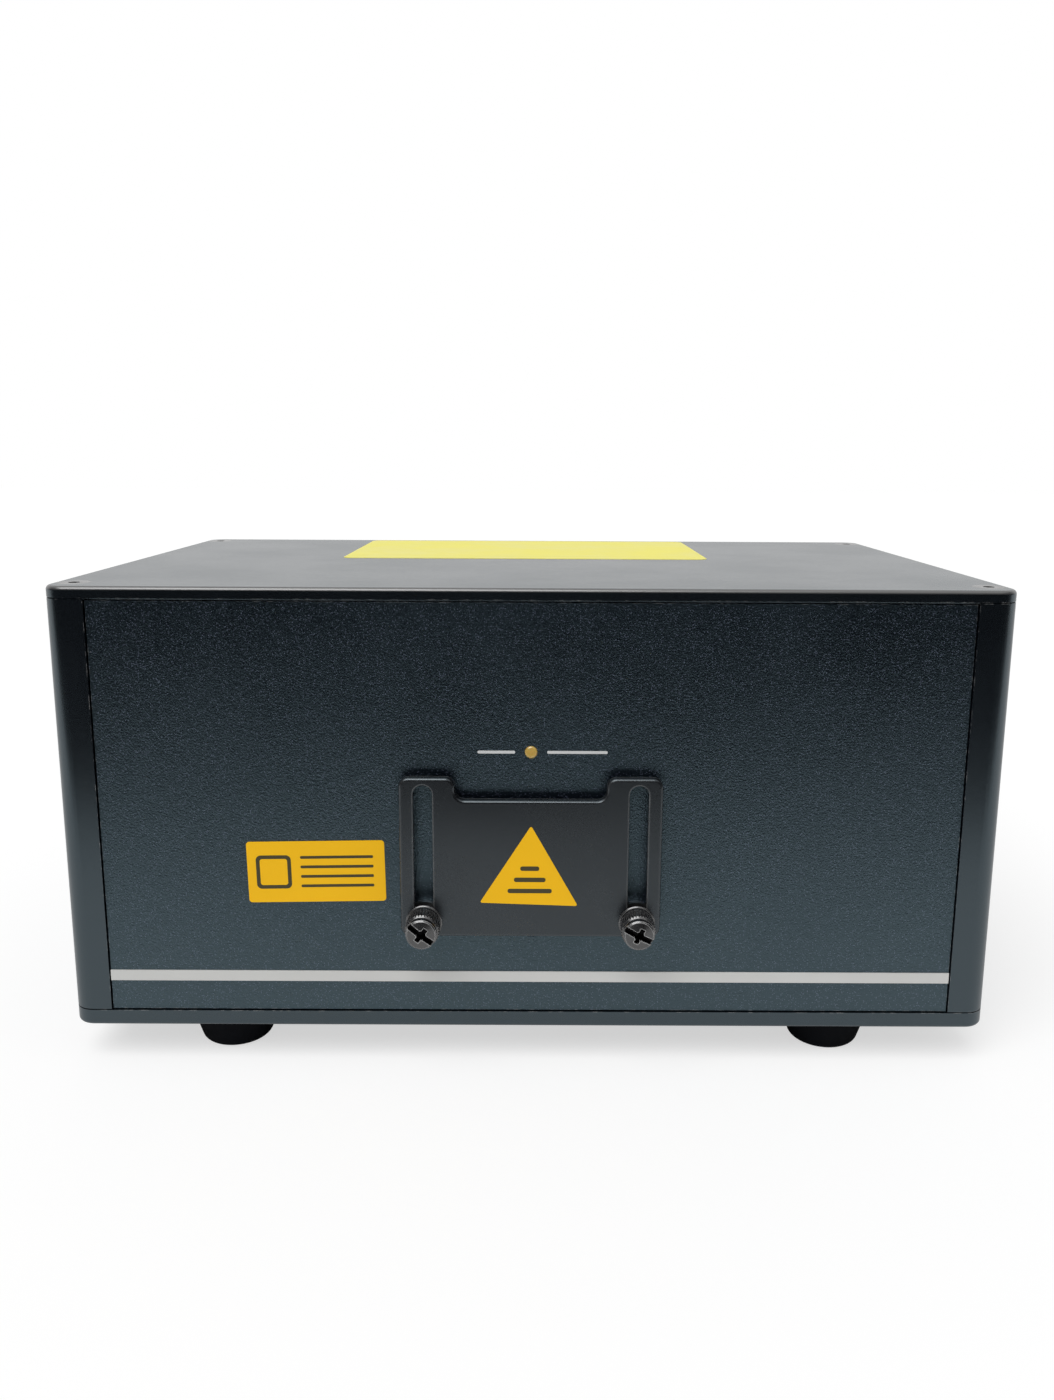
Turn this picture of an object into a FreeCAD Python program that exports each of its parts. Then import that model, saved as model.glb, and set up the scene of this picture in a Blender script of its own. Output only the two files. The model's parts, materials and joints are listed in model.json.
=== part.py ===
import FreeCAD, Part
import math
import operator
import os
import types

import Sketcher

# Show laser projector: a flat black housing with a sliding shutter plate over the beam aperture.
# Millimetres. +X is the viewer's right, +Y runs to the rear and +Z is up.
# The origin lies on the floor under the middle of the housing.

SIZES = {
    # Housing
    "body_width": 225,
    "body_depth": 140,
    "body_height": 108.5,
    "corner_radius": 5,
    "edge_radius": 1,
    "seam_bevel": 0.3,
    "lid_thickness": 3,
    "base_thickness": 4,
    "wall_thickness": 3,
    "post_width": 9.8,
    "block_depth": 12,
    "panel_thickness": 2,
    "panel_recess": 0.5,
    "panel_gap": 0.3,
    "tab_reach": 7,
    "tab_thickness": 2,
    "fit_clearance": 0.05,
    # Screws that hold the lid and the base plate
    "cover_screw_side": 5,
    "cover_screw_end": 8,
    "cover_screw_radius": 2,
    "cover_screw_head_radius": 3.8,
    "cover_screw_length": 14,
    "cover_screw_hex_radius": 1.45,
    "cover_screw_hex_depth": 1.2,
    # Feet
    "foot_height": 9.5,
    "foot_radius": 11.5,
    "foot_low_radius": 8.5,
    "foot_edge_radius": 2,
    "foot_side": 36.5,
    "foot_end": 15,
    "foot_recess_radius": 4,
    "foot_recess_depth": 4,
    "foot_screw_radius": 2,
    "foot_screw_head_radius": 3.5,
    "foot_screw_head_height": 2.2,
    # Threaded inserts for a mounting bracket
    "insert_radius": 4.5,
    "insert_bore_radius": 2.5,
    "insert_flange_radius": 6,
    "insert_flange_thickness": 1.2,
    "insert_length": 8,
    "insert_rise": 50,
    # Status light and trim strip on the front panel
    "led_rise": 65.8,
    "led_radius": 1.5,
    "led_proud": 0.6,
    "led_tail": 1.6,
    "led_flange_radius": 1.9,
    "led_flange_thickness": 1,
    "led_board_width": 14,
    "led_board_height": 10,
    "strip_rise": 7.8,
    "strip_height": 2.65,
    "strip_thickness": 0.3,
    # Shutter plate
    "shutter_width": 62,
    "shutter_height": 39.3,
    "shutter_rise": 21,
    "shutter_thickness": 2,
    "shutter_gap": 1.5,
    "shutter_corner": 2.3,
    "shutter_edge": 0.7,
    "notch_width": 35.7,
    "notch_depth": 5.4,
    "slot_spacing": 50.8,
    "slot_width": 4.5,
    "slot_edge": 0.3,
    "slot_top_web": 1.7,
    "slot_low_web": 1.2,
    "slot_end_gap": 0.25,
    # Thumbscrews and the standoffs that take them
    "thumb_gap": 0.1,
    "thumb_flange_radius": 4.35,
    "thumb_flange_length": 0.6,
    "thumb_flange_edge": 0.2,
    "thumb_radius": 4.05,
    "thumb_collar_length": 1.7,
    "thumb_knurl_length": 4,
    "thumb_knurl_edge": 0.4,
    "thumb_teeth": 36,
    "thumb_tooth_depth": 0.33,
    "thumb_groove_width": 0.42,
    "thumb_cap_radius": 3.6,
    "thumb_cap_length": 2.3,
    "thumb_cap_edge": 0.3,
    "thumb_crown": 0.5,
    "thumb_shank_radius": 2,
    "thumb_slot_width": 1.4,
    "thumb_slot_depth": 1.6,
    "thumb_cross_width": 1.2,
    "thumb_cross_length": 3.8,
    "thumb_recess_radius": 1.15,
    "thumb_recess_depth": 2.4,
    "thumb_left_turn": -38,
    "thumb_right_turn": -27,
    "standoff_shoulder_radius": 4.2,
    "standoff_gap": 0.1,
    "standoff_stem_radius": 3,
    "standoff_tail": 5,
    # Aperture, its glass and the frame that holds it
    "aperture_width": 32,
    "aperture_height": 22,
    "aperture_rise": 40,
    "aperture_corner": 2,
    "glass_lap": 2.5,
    "glass_thickness": 2,
    "gasket_thickness": 1,
    "glass_play": 0.1,
    "frame_wall": 1.5,
    "frame_back": 1.5,
    # Scanner
    "scan_setback": 22.5,
    "scan_drop": 14,
    "galvo_radius": 7,
    "galvo_length": 32,
    "galvo_nose_gap": 9,
    "galvo_shaft_radius": 1.5,
    "galvo_shaft_depth": 12,
    "galvo_clamp_radius": 2.6,
    "galvo_clamp_gap": 1,
    "galvo_plug_radius": 4,
    "galvo_plug_length": 4,
    "x_mirror_width": 8,
    "x_mirror_length": 10,
    "y_mirror_width": 10,
    "y_mirror_length": 12,
    "scan_mirror_thickness": 1,
    "mirror_grip": 2.5,
    "galvo_mount_width": 24,
    "galvo_mount_length": 20,
    "galvo_mount_setback": 4,
    "galvo_mount_wall": 5,
    "galvo_mount_corner": 6,
    # Laser engine
    "bench_thickness": 8,
    "bench_width": 72,
    "bench_length": 85,
    "bench_side_gap": 3,
    "bench_front_gap": 10.5,
    "bench_corner": 4,
    "module_width": 20,
    "module_length": 45,
    "module_height": 30,
    "module_pitch": 24,
    "module_side_gap": 2,
    "module_setback": 20,
    "barrel_radius": 6,
    "barrel_bore_radius": 3,
    "barrel_length": 8,
    "module_fin_slot": 2,
    "module_fin_pitch": 5,
    "module_fin_depth": 7,
    "module_fin_count": 8,
    "holder_size": 12,
    "holder_slot_depth": 2.5,
    "combining_mirror_width": 13,
    "combining_mirror_height": 15,
    "combining_mirror_thickness": 1.1,
    # Electronics
    "board_thickness": 1.6,
    "supply_width": 48,
    "supply_length": 88,
    "supply_height": 30,
    "supply_side_gap": 3,
    "supply_front_gap": 17,
    "supply_corner": 2,
    "supply_slot_width": 2.4,
    "supply_slot_length": 34,
    "supply_slot_depth": 1.5,
    "supply_slot_pitch": 6,
    "supply_slot_count": 11,
    "supply_terminal_length": 10,
    "supply_terminal_height": 12,
    "control_board_gap": 12,
    "control_board_length": 46,
    "control_board_rear_gap": 19.5,
    "wall_board_length": 80,
    "wall_board_rise": 43,
    "wall_board_top_gap": 12.5,
    "wall_board_front_gap": 17.5,
    "board_standoff_radius": 3,
    "board_standoff_height": 6,
    "board_hole_inset": 5,
    "chip_width": 8,
    "chip_height": 2,
    "coil_height": 9,
    "socket_width": 8,
    "socket_length": 22,
    "socket_height": 8,
    # Fan
    "fan_size": 60,
    "fan_side_gap": 2.7,
    "fan_wall": 1.5,
    "fan_hole_inset": 5,
    "fan_depth": 15,
    "fan_corner": 4,
    "fan_screw_radius": 2,
    "fan_screw_head_radius": 3.6,
    "fan_screw_head_height": 2.2,
    "fan_hole_clearance": 0.15,
    "fan_strut_width": 4,
    "fan_strut_thickness": 2.5,
    "fan_boss_radius": 5,
    "fan_boss_length": 6,
    "fan_hub_radius": 13,
    "fan_hub_wall": 1.5,
    "fan_hub_gap": 0.8,
    "fan_face_gap": 1,
    "fan_shaft_radius": 1.5,
    "fan_blade_count": 7,
    "fan_tip_gap": 1,
    "fan_blade_thickness": 1.4,
    "fan_blade_root_sweep": 7,
    "fan_blade_tip_sweep": 13,
    "fan_blade_end_gap": 1,
    "guard_wire_width": 1.6,
    "guard_thickness": 1.6,
    "guard_inner_radius": 9,
    "guard_ring_count": 4,
    # Mains inlet with fuse drawer and rocker
    "inlet_side_gap": 1.7,
    "inlet_width": 30,
    "inlet_height": 50,
    "inlet_corner": 3,
    "inlet_flange_thickness": 3,
    "inlet_flange_edge": 0.8,
    "inlet_rim": 2,
    "inlet_depth": 24,
    "inlet_play": 0.2,
    "plug_width": 24,
    "plug_height": 16.4,
    "plug_bevel": 4,
    "plug_depth": 16.5,
    "plug_rise": 1.5,
    "pin_width": 2,
    "pin_height": 4,
    "pin_length": 10.5,
    "pin_spacing": 14,
    "pin_offset": 4,
    "fuse_width": 21,
    "fuse_height": 7,
    "fuse_depth": 18,
    "fuse_rise": -16,
    "fuse_notch": 2,
    "fuse_notch_width": 7,
    "slide_gap": 0.3,
    "rocker_width": 20,
    "rocker_height": 9,
    "rocker_rise": 17,
    "rocker_well_depth": 8,
    "rocker_pivot_depth": 2.5,
    "rocker_thickness": 4,
    "rocker_rest_turn": 8,
    "rocker_swing_room": 1,
    # Key switch
    "key_bezel_radius": 10.5,
    "key_bezel_length": 4,
    "key_bezel_edge": 1,
    "key_barrel_radius": 9,
    "key_barrel_length": 22,
    "key_cylinder_radius": 5.5,
    "key_cylinder_length": 18,
    "key_cylinder_proud": 0.6,
    "keyway_width": 1.8,
    "keyway_height": 7,
    "keyway_depth": 10,
    # Signal socket with 25 contacts
    "signal_flange_width": 53,
    "signal_flange_height": 12.5,
    "signal_flange_thickness": 1,
    "signal_flange_corner": 1.5,
    "signal_shell_width": 39.4,
    "signal_shell_height": 8.4,
    "signal_shell_slant": 1.5,
    "signal_shell_length": 6,
    "signal_shell_wall": 0.6,
    "signal_cup_depth": 5.5,
    "signal_block_width": 41,
    "signal_block_height": 10.6,
    "signal_block_length": 10,
    "contact_pitch": 2.77,
    "contact_row_pitch": 2.84,
    "contact_radius": 0.5,
    "contact_length": 4.5,
    "contact_count": 13,
    "jack_spacing": 47,
    "jack_radius": 2.6,
    "jack_length": 5,
    "jack_bore_radius": 1.4,
    # Round three pole sockets
    "dmx_flange_width": 26,
    "dmx_flange_height": 31,
    "dmx_flange_thickness": 3,
    "dmx_flange_corner": 3,
    "dmx_sleeve_radius": 11.6,
    "dmx_sleeve_length": 20,
    "dmx_cup_radius": 9.6,
    "dmx_cup_depth": 16,
    "dmx_core_radius": 8,
    "dmx_pin_radius": 1.25,
    "dmx_pin_length": 10.5,
    "dmx_pin_circle": 5.2,
    "dmx_hole_depth": 8,
    "dmx_screw_spacing_x": 19,
    "dmx_screw_spacing_z": 24,
    "latch_width": 8,
    "latch_height": 3.6,
    "latch_proud": 2.4,
    "latch_edge": 0.8,
    "latch_travel": 1,
    "latch_rise": 12.6,
    # Interlock socket
    "interlock_width": 16,
    "interlock_height": 14,
    "interlock_length": 18,
    "interlock_proud": 1,
    "interlock_cup_width": 12,
    "interlock_cup_height": 7,
    "interlock_cup_depth": 13,
    "interlock_key_width": 5,
    "interlock_key_height": 2,
    # Safety tab
    "safety_plate_width": 16,
    "safety_plate_height": 14,
    "safety_plate_thickness": 1.5,
    "safety_tab_reach": 11,
    "safety_tab_thickness": 2.5,
    "safety_hole_radius": 3,
    "safety_hole_reach": 6.3,
    # Small pan head screws on the rear panel
    "rear_screw_radius": 1.5,
    "rear_screw_head_radius": 2.8,
    "rear_screw_head_height": 1.6,
    "rear_screw_length": 5,
    "rear_screw_rise": 10,
    "screw_cross_width": 0.7,
    "screw_cross_length": 3.2,
    "screw_cross_depth": 0.9,
}

doc = FreeCAD.newDocument("show_laser")
sheet = doc.addObject("Spreadsheet::Sheet", "Sizes")
for row, (size_name, size_number) in enumerate(SIZES.items(), 1):
    sheet.set(f"A{row}", size_name)
    sheet.set(f"B{row}", str(size_number))
    sheet.setAlias(f"B{row}", size_name)
doc.recompute()

X_AXIS = FreeCAD.Vector(1, 0, 0)
Y_AXIS = FreeCAD.Vector(0, 1, 0)
Z_AXIS = FreeCAD.Vector(0, 0, 1)
DIAGONAL = 45
HALF_ROOT_THREE = math.sqrt(3) / 2


class Size:
    """A number together with the formula of named sizes that gives it."""

    def __init__(self, number, text):
        self.number = number
        self.text = text

    def __add__(self, other):
        return worked_out(operator.add, "+", self, other)

    def __radd__(self, other):
        return worked_out(operator.add, "+", other, self)

    def __sub__(self, other):
        return worked_out(operator.sub, "-", self, other)

    def __rsub__(self, other):
        return worked_out(operator.sub, "-", other, self)

    def __mul__(self, other):
        return worked_out(operator.mul, "*", self, other)

    def __rmul__(self, other):
        return worked_out(operator.mul, "*", other, self)

    def __truediv__(self, other):
        return worked_out(operator.truediv, "/", self, other)

    def __neg__(self):
        return worked_out(operator.sub, "-", 0, self)


def size_of(value):
    """A plain number or a size, as a size."""
    if isinstance(value, Size):
        return value
    return Size(float(value), f"({value})")


def worked_out(work, sign, first, second):
    first = size_of(first)
    second = size_of(second)
    return Size(work(first.number, second.number), f"({first.text} {sign} {second.text})")


s = types.SimpleNamespace(**{name: Size(float(sheet.get(name)), f"Sizes.{name}") for name in SIZES})

# Places that many pieces share
half_width = s.body_width / 2
half_depth = s.body_depth / 2
deck = s.foot_height + s.base_thickness
lid_underside = s.foot_height + s.body_height - s.lid_thickness
wall_height = lid_underside - deck
wall_inside = half_width - s.wall_thickness
post_inside = half_width - s.post_width
panel_half_width = post_inside - s.panel_gap
panel_low = deck + s.panel_gap
panel_high = lid_underside - s.panel_gap
front_face = -half_depth + s.panel_recess
front_inside = front_face + s.panel_thickness
rear_face = half_depth - s.panel_recess
rear_inside = rear_face - s.panel_thickness
tab_tip = post_inside - s.tab_reach
bench_top = deck + s.bench_thickness


def bind(item, path, value):
    """Tie one property to the formula of a size."""
    item.setExpression(path, size_of(value).text)


def place(item, x=0, y=0, z=0, axis=None, turn=0):
    """Put an item in the frame, turned about an axis by an angle in degrees."""
    spot = FreeCAD.Vector(*[size_of(value).number for value in (x, y, z)])
    rotation = FreeCAD.Rotation(axis, size_of(turn).number) if axis else FreeCAD.Rotation()
    item.Placement = FreeCAD.Placement(spot, rotation)
    for letter, value in zip("xyz", (x, y, z)):
        bind(item, f"Placement.Base.{letter}", value)
    if isinstance(turn, Size):
        bind(item, "Placement.Rotation.Angle", turn)


def new_body(label, x=0, y=0, z=0, axis=None, turn=0):
    body = doc.addObject("PartDesign::Body", label)
    body.Label = label
    body.AllowCompound = True
    place(body, x, y, z, axis, turn)
    return body


def origin_feature(body, role):
    return [feature for feature in body.Origin.OriginFeatures if feature.Role == role][0]


def sketch_on(body, plane, lift=0):
    """A sketch on one of the body's own planes, lifted along that plane's normal."""
    sketch = body.newObject("Sketcher::SketchObject", f"{body.Name}_sketch")
    sketch.AttachmentSupport = [(origin_feature(body, f"{plane}_Plane"), "")]
    sketch.MapMode = "FlatFace"
    bind(sketch, "AttachmentOffset.Base.z", lift)
    return sketch


def constrain(sketch, plain, sized):
    """Add constraints; a sized one is a kind, a geometry, a point or None, and the size that sets it."""
    sketch.addConstraint(plain)
    for kind, geometry, point, value in sized:
        value = size_of(value)
        spot = (geometry,) if point is None else (geometry, point)
        index = sketch.addConstraint(Sketcher.Constraint(kind, *spot, value.number))
        sketch.setExpression(f"Constraints[{index}]", value.text)


def vector(point):
    return FreeCAD.Vector(size_of(point[0]).number, size_of(point[1]).number, 0)


def shifted(corner, neighbour):
    """The point one corner radius away from a corner, towards a neighbour along X or Y."""
    x, y, radius = corner
    way = vector(neighbour) - vector(corner)
    if abs(way.x) > abs(way.y):
        return (x + radius if way.x > 0 else x - radius, y)
    return (x, y + radius if way.y > 0 else y - radius)


def angle_of(point, centre):
    return math.atan2(point.y - centre.y, point.x - centre.x)


def arc_about(centre, radius, start, end):
    """Counterclockwise arc from one point to another."""
    first = angle_of(start, centre)
    last = angle_of(end, centre)
    if last <= first:
        last += 2 * math.pi
    return Part.ArcOfCircle(Part.Circle(centre, Z_AXIS, radius), first, last)


def outline(sketch, corners):
    """Closed outline. A corner is (x, y), or (x, y, radius) for a round between lines along X and Y."""
    first = sketch.GeometryCount
    shapes = []
    ends = []
    sized = []
    for i, corner in enumerate(corners):
        after = corner
        following = corners[(i + 1) % len(corners)]
        if len(corner) == 3:
            before = shifted(corner, corners[i - 1])
            after = shifted(corner, following)
            centre = vector(before) + vector(after) - vector(corner)
            turn = (vector(corner) - vector(before)).cross(vector(after) - vector(corner)).z
            pair = [vector(before), vector(after)]
            start, end = pair if turn > 0 else pair[::-1]
            here = first + len(shapes)
            shapes.append(arc_about(centre, size_of(corner[2]).number, start, end))
            ends.append((1, 2) if turn > 0 else (2, 1))
            sized.append(("DistanceX", here, ends[-1][0], before[0]))
            sized.append(("DistanceY", here, ends[-1][0], before[1]))
            sized.append(("Radius", here, None, corner[2]))
        here = first + len(shapes)
        arrival = shifted(following, corner) if len(following) == 3 else following
        shapes.append(Part.LineSegment(vector(after), vector(arrival)))
        ends.append((1, 2))
        sized.append(("DistanceX", here, 1, after[0]))
        sized.append(("DistanceY", here, 1, after[1]))
    sketch.addGeometry(shapes, False)
    count = len(shapes)
    joints = []
    for k in range(count):
        following = (k + 1) % count
        joints.append(
            Sketcher.Constraint("Coincident", first + k, ends[k][1], first + following, ends[following][0])
        )
    constrain(sketch, joints, sized)


def rectangle(sketch, middle_x, middle_y, width, height, radius=None):
    round_off = () if radius is None else (radius,)
    left, right = middle_x - width / 2, middle_x + width / 2
    low, high = middle_y - height / 2, middle_y + height / 2
    corners = [(left, low), (right, low), (right, high), (left, high)]
    outline(sketch, [corner + round_off for corner in corners])


def circle(sketch, x, y, radius):
    here = sketch.GeometryCount
    sketch.addGeometry(Part.Circle(vector((x, y)), Z_AXIS, size_of(radius).number), False)
    place_of_centre = [("DistanceX", here, 3, x), ("DistanceY", here, 3, y)]
    constrain(sketch, [], place_of_centre + [("Radius", here, None, radius)])


def upright_slot(sketch, x, low, high, radius):
    """Slot with round ends; low and high are the centres of the ends."""
    here = sketch.GeometryCount
    top = vector((x, high))
    bottom = vector((x, low))
    half = FreeCAD.Vector(size_of(radius).number, 0, 0)
    sketch.addGeometry(
        [
            arc_about(top, half.x, top + half, top - half),
            Part.LineSegment(top - half, bottom - half),
            arc_about(bottom, half.x, bottom - half, bottom + half),
            Part.LineSegment(bottom + half, top + half),
        ],
        False,
    )
    joints = [Sketcher.Constraint("Tangent", here + k, 2, here + (k + 1) % 4, 1) for k in range(4)]
    sized = []
    for arc, y in ((here, high), (here + 2, low)):
        sized.append(("DistanceX", arc, 3, x))
        sized.append(("DistanceY", arc, 3, y))
        sized.append(("Radius", arc, None, radius))
    constrain(sketch, joints, sized)


def volume_of(body):
    doc.recompute()
    return body.Shape.Volume


def pad(body, sketch, length, back=False):
    """Raise a sketch along its normal, or the other way with back."""
    feature = body.newObject("PartDesign::Pad", f"{body.Name}_pad")
    feature.Profile = sketch
    feature.Reversed = back
    bind(feature, "Length", length)
    return feature


def pocket(body, sketch, depth, back=False):
    """Cut a sketch against its normal, or along it with back."""
    solid_before = body.Tip.Shape.Volume
    feature = body.newObject("PartDesign::Pocket", f"{body.Name}_pocket")
    feature.Profile = sketch
    feature.Reversed = back
    bind(feature, "Length", depth)
    if volume_of(body) >= solid_before:
        raise ValueError(f"a pocket in {body.Label} cuts nothing")
    return feature


def revolve(body, sketch):
    """Turn a sketch about its upright axis."""
    feature = body.newObject("PartDesign::Revolution", f"{body.Name}_revolution")
    feature.Profile = sketch
    feature.ReferenceAxis = (sketch, ["V_Axis"])
    feature.Angle = 360
    return feature


def turned(label, profile, **where):
    """A body turned about its own Z axis from an outline of (radius, height) corners."""
    body = new_body(label, **where)
    sketch = sketch_on(body, "XZ")
    outline(sketch, profile)
    revolve(body, sketch)
    doc.recompute()
    return body


def edge_feature(body, kind, path, value, chosen):
    base = body.Tip
    names = [f"Edge{i}" for i, edge in enumerate(base.Shape.Edges, 1) if chosen(edge)]
    if not names:
        raise ValueError(f"no edge of {body.Label} matches")
    feature = body.newObject(kind, f"{body.Name}_edges")
    feature.Base = (base, names)
    bind(feature, path, value)
    doc.recompute()
    return feature


def round_edges(body, radius, chosen):
    return edge_feature(body, "PartDesign::Fillet", "Radius", radius, chosen)


def bevel_edges(body, width, chosen):
    return edge_feature(body, "PartDesign::Chamfer", "Size", width, chosen)


def flat_at(letter, level):
    """Picks the edges that lie in a plane square to X, Y or Z."""
    level = size_of(level).number
    low, high = f"{letter}Min", f"{letter}Max"

    def chosen(edge):
        box = edge.BoundBox
        return abs(getattr(box, low) - level) < 1e-4 and abs(getattr(box, high) - level) < 1e-4

    return chosen


def is_ring(edge, radius):
    """True for an edge that lies on a circle of this radius."""
    return isinstance(edge.Curve, Part.Circle) and abs(edge.Curve.Radius - size_of(radius).number) < 1e-4


def polar(body, originals, axis, count):
    """Repeat features round one of the body's own axes."""
    feature = body.newObject("PartDesign::PolarPattern", f"{body.Name}_polar")
    feature.Originals = originals
    feature.Axis = (origin_feature(body, f"{axis}_Axis"), [""])
    feature.Angle = 360
    bind(feature, "Occurrences", count)
    body.Tip = feature
    doc.recompute()


def row_of(body, original, axis, pitch, count):
    """Repeat a feature in a row along one of the body's own axes."""
    feature = body.newObject("PartDesign::LinearPattern", f"{body.Name}_row")
    feature.Originals = [original]
    feature.Direction = (origin_feature(body, f"{axis}_Axis"), [""])
    bind(feature, "Length", pitch * (count - 1))
    bind(feature, "Occurrences", count)
    body.Tip = feature
    doc.recompute()


subparts = []


def keep(item, label=None):
    """Add a finished piece to the model under its own label."""
    if label:
        item.Label = label
    subparts.append(item)
    return item


def group(label, pieces):
    """Several separate solids that share one name."""
    compound = doc.addObject("Part::Compound", label)
    compound.Links = pieces
    return keep(compound, label)


def cross_recess(body, level, length, width, depth):
    """Cross cut into the flat end of a turned piece, square to its axis."""
    for wide, high in ((length, width), (width, length)):
        sketch = sketch_on(body, "XY", level)
        rectangle(sketch, 0, 0, wide, high)
        pocket(body, sketch, depth)


SIDES = (("left", -1), ("right", 1))
TO_FRONT = {"axis": X_AXIS, "turn": 90}
TO_REAR = {"axis": X_AXIS, "turn": -90}


def four_places(across, along):
    """The four places at plus and minus two distances from the middle."""
    return [(x_sign * across, y_sign * along) for x_sign in (-1, 1) for y_sign in (-1, 1)]


cover_screw_places = four_places(half_width - s.cover_screw_side, half_depth - s.cover_screw_end)
foot_places = four_places(half_width - s.foot_side, half_depth - s.foot_end)
cover_hole_radius = s.cover_screw_radius + s.fit_clearance
countersink = s.cover_screw_head_radius - s.cover_screw_radius
foot_hole_radius = s.foot_screw_radius + s.fit_clearance


def outer_rim(level):
    """Picks the outer edges of a cover plate at one level."""
    at_level = flat_at("Z", level)
    reach = (half_width - s.cover_screw_side).number
    depth_reach = (half_depth - s.cover_screw_end).number

    def chosen(edge):
        if not at_level(edge) or is_ring(edge, cover_hole_radius):
            return False
        middle = edge.CenterOfMass
        outside = abs(middle.x) > reach or abs(middle.y) > depth_reach
        return outside and not is_ring(edge, cover_hole_radius + countersink)

    return chosen


def cover_plate(label, z, thickness, outer_level):
    """Plate with round corners and countersunk holes; its outer rim is rounded."""
    body = new_body(label, z=z)
    sketch = sketch_on(body, "XY")
    rectangle(sketch, 0, 0, s.body_width, s.body_depth, s.corner_radius)
    for x, y in cover_screw_places:
        circle(sketch, x, y, cover_hole_radius)
    pad(body, sketch, thickness)
    doc.recompute()
    at_level = flat_at("Z", outer_level)
    bevel_edges(body, countersink, lambda edge: at_level(edge) and is_ring(edge, cover_hole_radius))
    round_edges(body, s.edge_radius, outer_rim(outer_level))
    return keep(body)


def hexagon(sketch, radius):
    corners = [(1, 0), (0.5, HALF_ROOT_THREE), (-0.5, HALF_ROOT_THREE)]
    corners += [(-x, -y) for x, y in corners]
    outline(sketch, [(radius * x, radius * y) for x, y in corners])


def cover_screw(label, x, y, z, **direction):
    """Countersunk screw with a hexagon socket; its head lies flush at its origin."""
    body = turned(
        label,
        [
            (0, 0),
            (s.cover_screw_head_radius, 0),
            (s.cover_screw_radius, -countersink),
            (s.cover_screw_radius, -s.cover_screw_length),
            (0, -s.cover_screw_length),
        ],
        x=x, y=y, z=z, **direction,
    )
    sketch = sketch_on(body, "XY")
    hexagon(sketch, s.cover_screw_hex_radius)
    pocket(body, sketch, s.cover_screw_hex_depth)
    return body


def side_profile(name, side):
    """Upright section with a post at each end, a tab behind each panel and a bevelled seam on the base."""
    body = new_body(f"side_profile_{name}", z=deck)
    sketch = sketch_on(body, "XY")
    half = [
        (half_width, half_depth, s.corner_radius),
        (post_inside, half_depth),
        (post_inside, rear_inside),
        (tab_tip, rear_inside),
        (tab_tip, rear_inside - s.tab_thickness),
        (post_inside, rear_inside - s.tab_thickness),
        (post_inside, half_depth - s.block_depth),
        (wall_inside, half_depth - s.block_depth),
    ]
    mirrored = [(corner[0], -corner[1]) + tuple(corner[2:]) for corner in reversed(half)]
    outline(sketch, [(side * corner[0],) + tuple(corner[1:]) for corner in half + mirrored])
    for x, y in cover_screw_places:
        if x.number * side > 0:
            circle(sketch, x, y, cover_hole_radius)
    pad(body, sketch, wall_height)
    doc.recompute()
    hole = sketch_on(body, "YZ", half_width if side > 0 else -wall_inside)
    circle(hole, 0, s.insert_rise, s.insert_radius + s.fit_clearance)
    pocket(body, hole, s.wall_thickness)
    tab_middle = tab_tip + s.tab_reach / 2
    screw_holes = sketch_on(body, "XZ", -rear_inside)
    for level in (s.rear_screw_rise, wall_height - s.rear_screw_rise):
        circle(screw_holes, side * tab_middle, level, s.rear_screw_radius + s.fit_clearance)
    pocket(body, screw_holes, s.tab_thickness, back=True)
    at_base = flat_at("Z", 0)

    def outside(edge):
        middle = edge.CenterOfMass
        at_side = abs(abs(middle.x) - half_width.number) < 1e-4
        at_end = abs(abs(middle.y) - half_depth.number) < 1e-4
        return at_base(edge) and (at_side or at_end or is_ring(edge, s.corner_radius))

    bevel_edges(body, s.seam_bevel, outside)
    return keep(body)


rear_screw_places = [
    (side * (post_inside - s.tab_reach / 2), level)
    for side in (-1, 1)
    for level in (deck + s.rear_screw_rise, lid_underside - s.rear_screw_rise)
]


def bracket_inserts():
    """Press nut in each side wall, flush outside, with its flange inside."""
    flange_end = s.wall_thickness + s.insert_flange_thickness
    profile = [
        (s.insert_bore_radius, 0),
        (s.insert_radius, 0),
        (s.insert_radius, -s.wall_thickness),
        (s.insert_flange_radius, -s.wall_thickness),
        (s.insert_flange_radius, -flange_end),
        (s.insert_radius, -flange_end),
        (s.insert_radius, -s.insert_length),
        (s.insert_bore_radius, -s.insert_length),
    ]
    pieces = []
    for name, side in SIDES:
        where = {"x": side * half_width, "z": deck + s.insert_rise, "axis": Y_AXIS, "turn": side * 90}
        pieces.append(turned(f"bracket_insert_{name}", profile, **where))
    group("bracket_inserts", pieces)


def rubber_feet():
    """Tapered feet with a rounded lower edge and a recess for the screw head."""
    pieces = []
    screws = []
    recess_top = s.foot_recess_depth
    for number, (x, y) in enumerate(foot_places, 1):
        foot = turned(
            f"rubber_foot_{number}",
            [
                (s.foot_recess_radius, 0),
                (s.foot_low_radius, 0),
                (s.foot_radius, s.foot_height),
                (foot_hole_radius, s.foot_height),
                (foot_hole_radius, recess_top),
                (s.foot_recess_radius, recess_top),
            ],
            x=x, y=y,
        )
        round_edges(foot, s.foot_edge_radius, lambda edge: is_ring(edge, s.foot_low_radius))
        pieces.append(foot)
        head_end = recess_top - s.foot_screw_head_height
        screw = turned(
            f"foot_screw_{number}",
            [
                (0, head_end),
                (s.foot_screw_head_radius, head_end),
                (s.foot_screw_head_radius, recess_top),
                (s.foot_screw_radius, recess_top),
                (s.foot_screw_radius, deck),
                (0, deck),
            ],
            x=x, y=y,
        )
        screws.append(screw)
    group("rubber_feet", pieces)
    group("foot_screws", screws)


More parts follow.
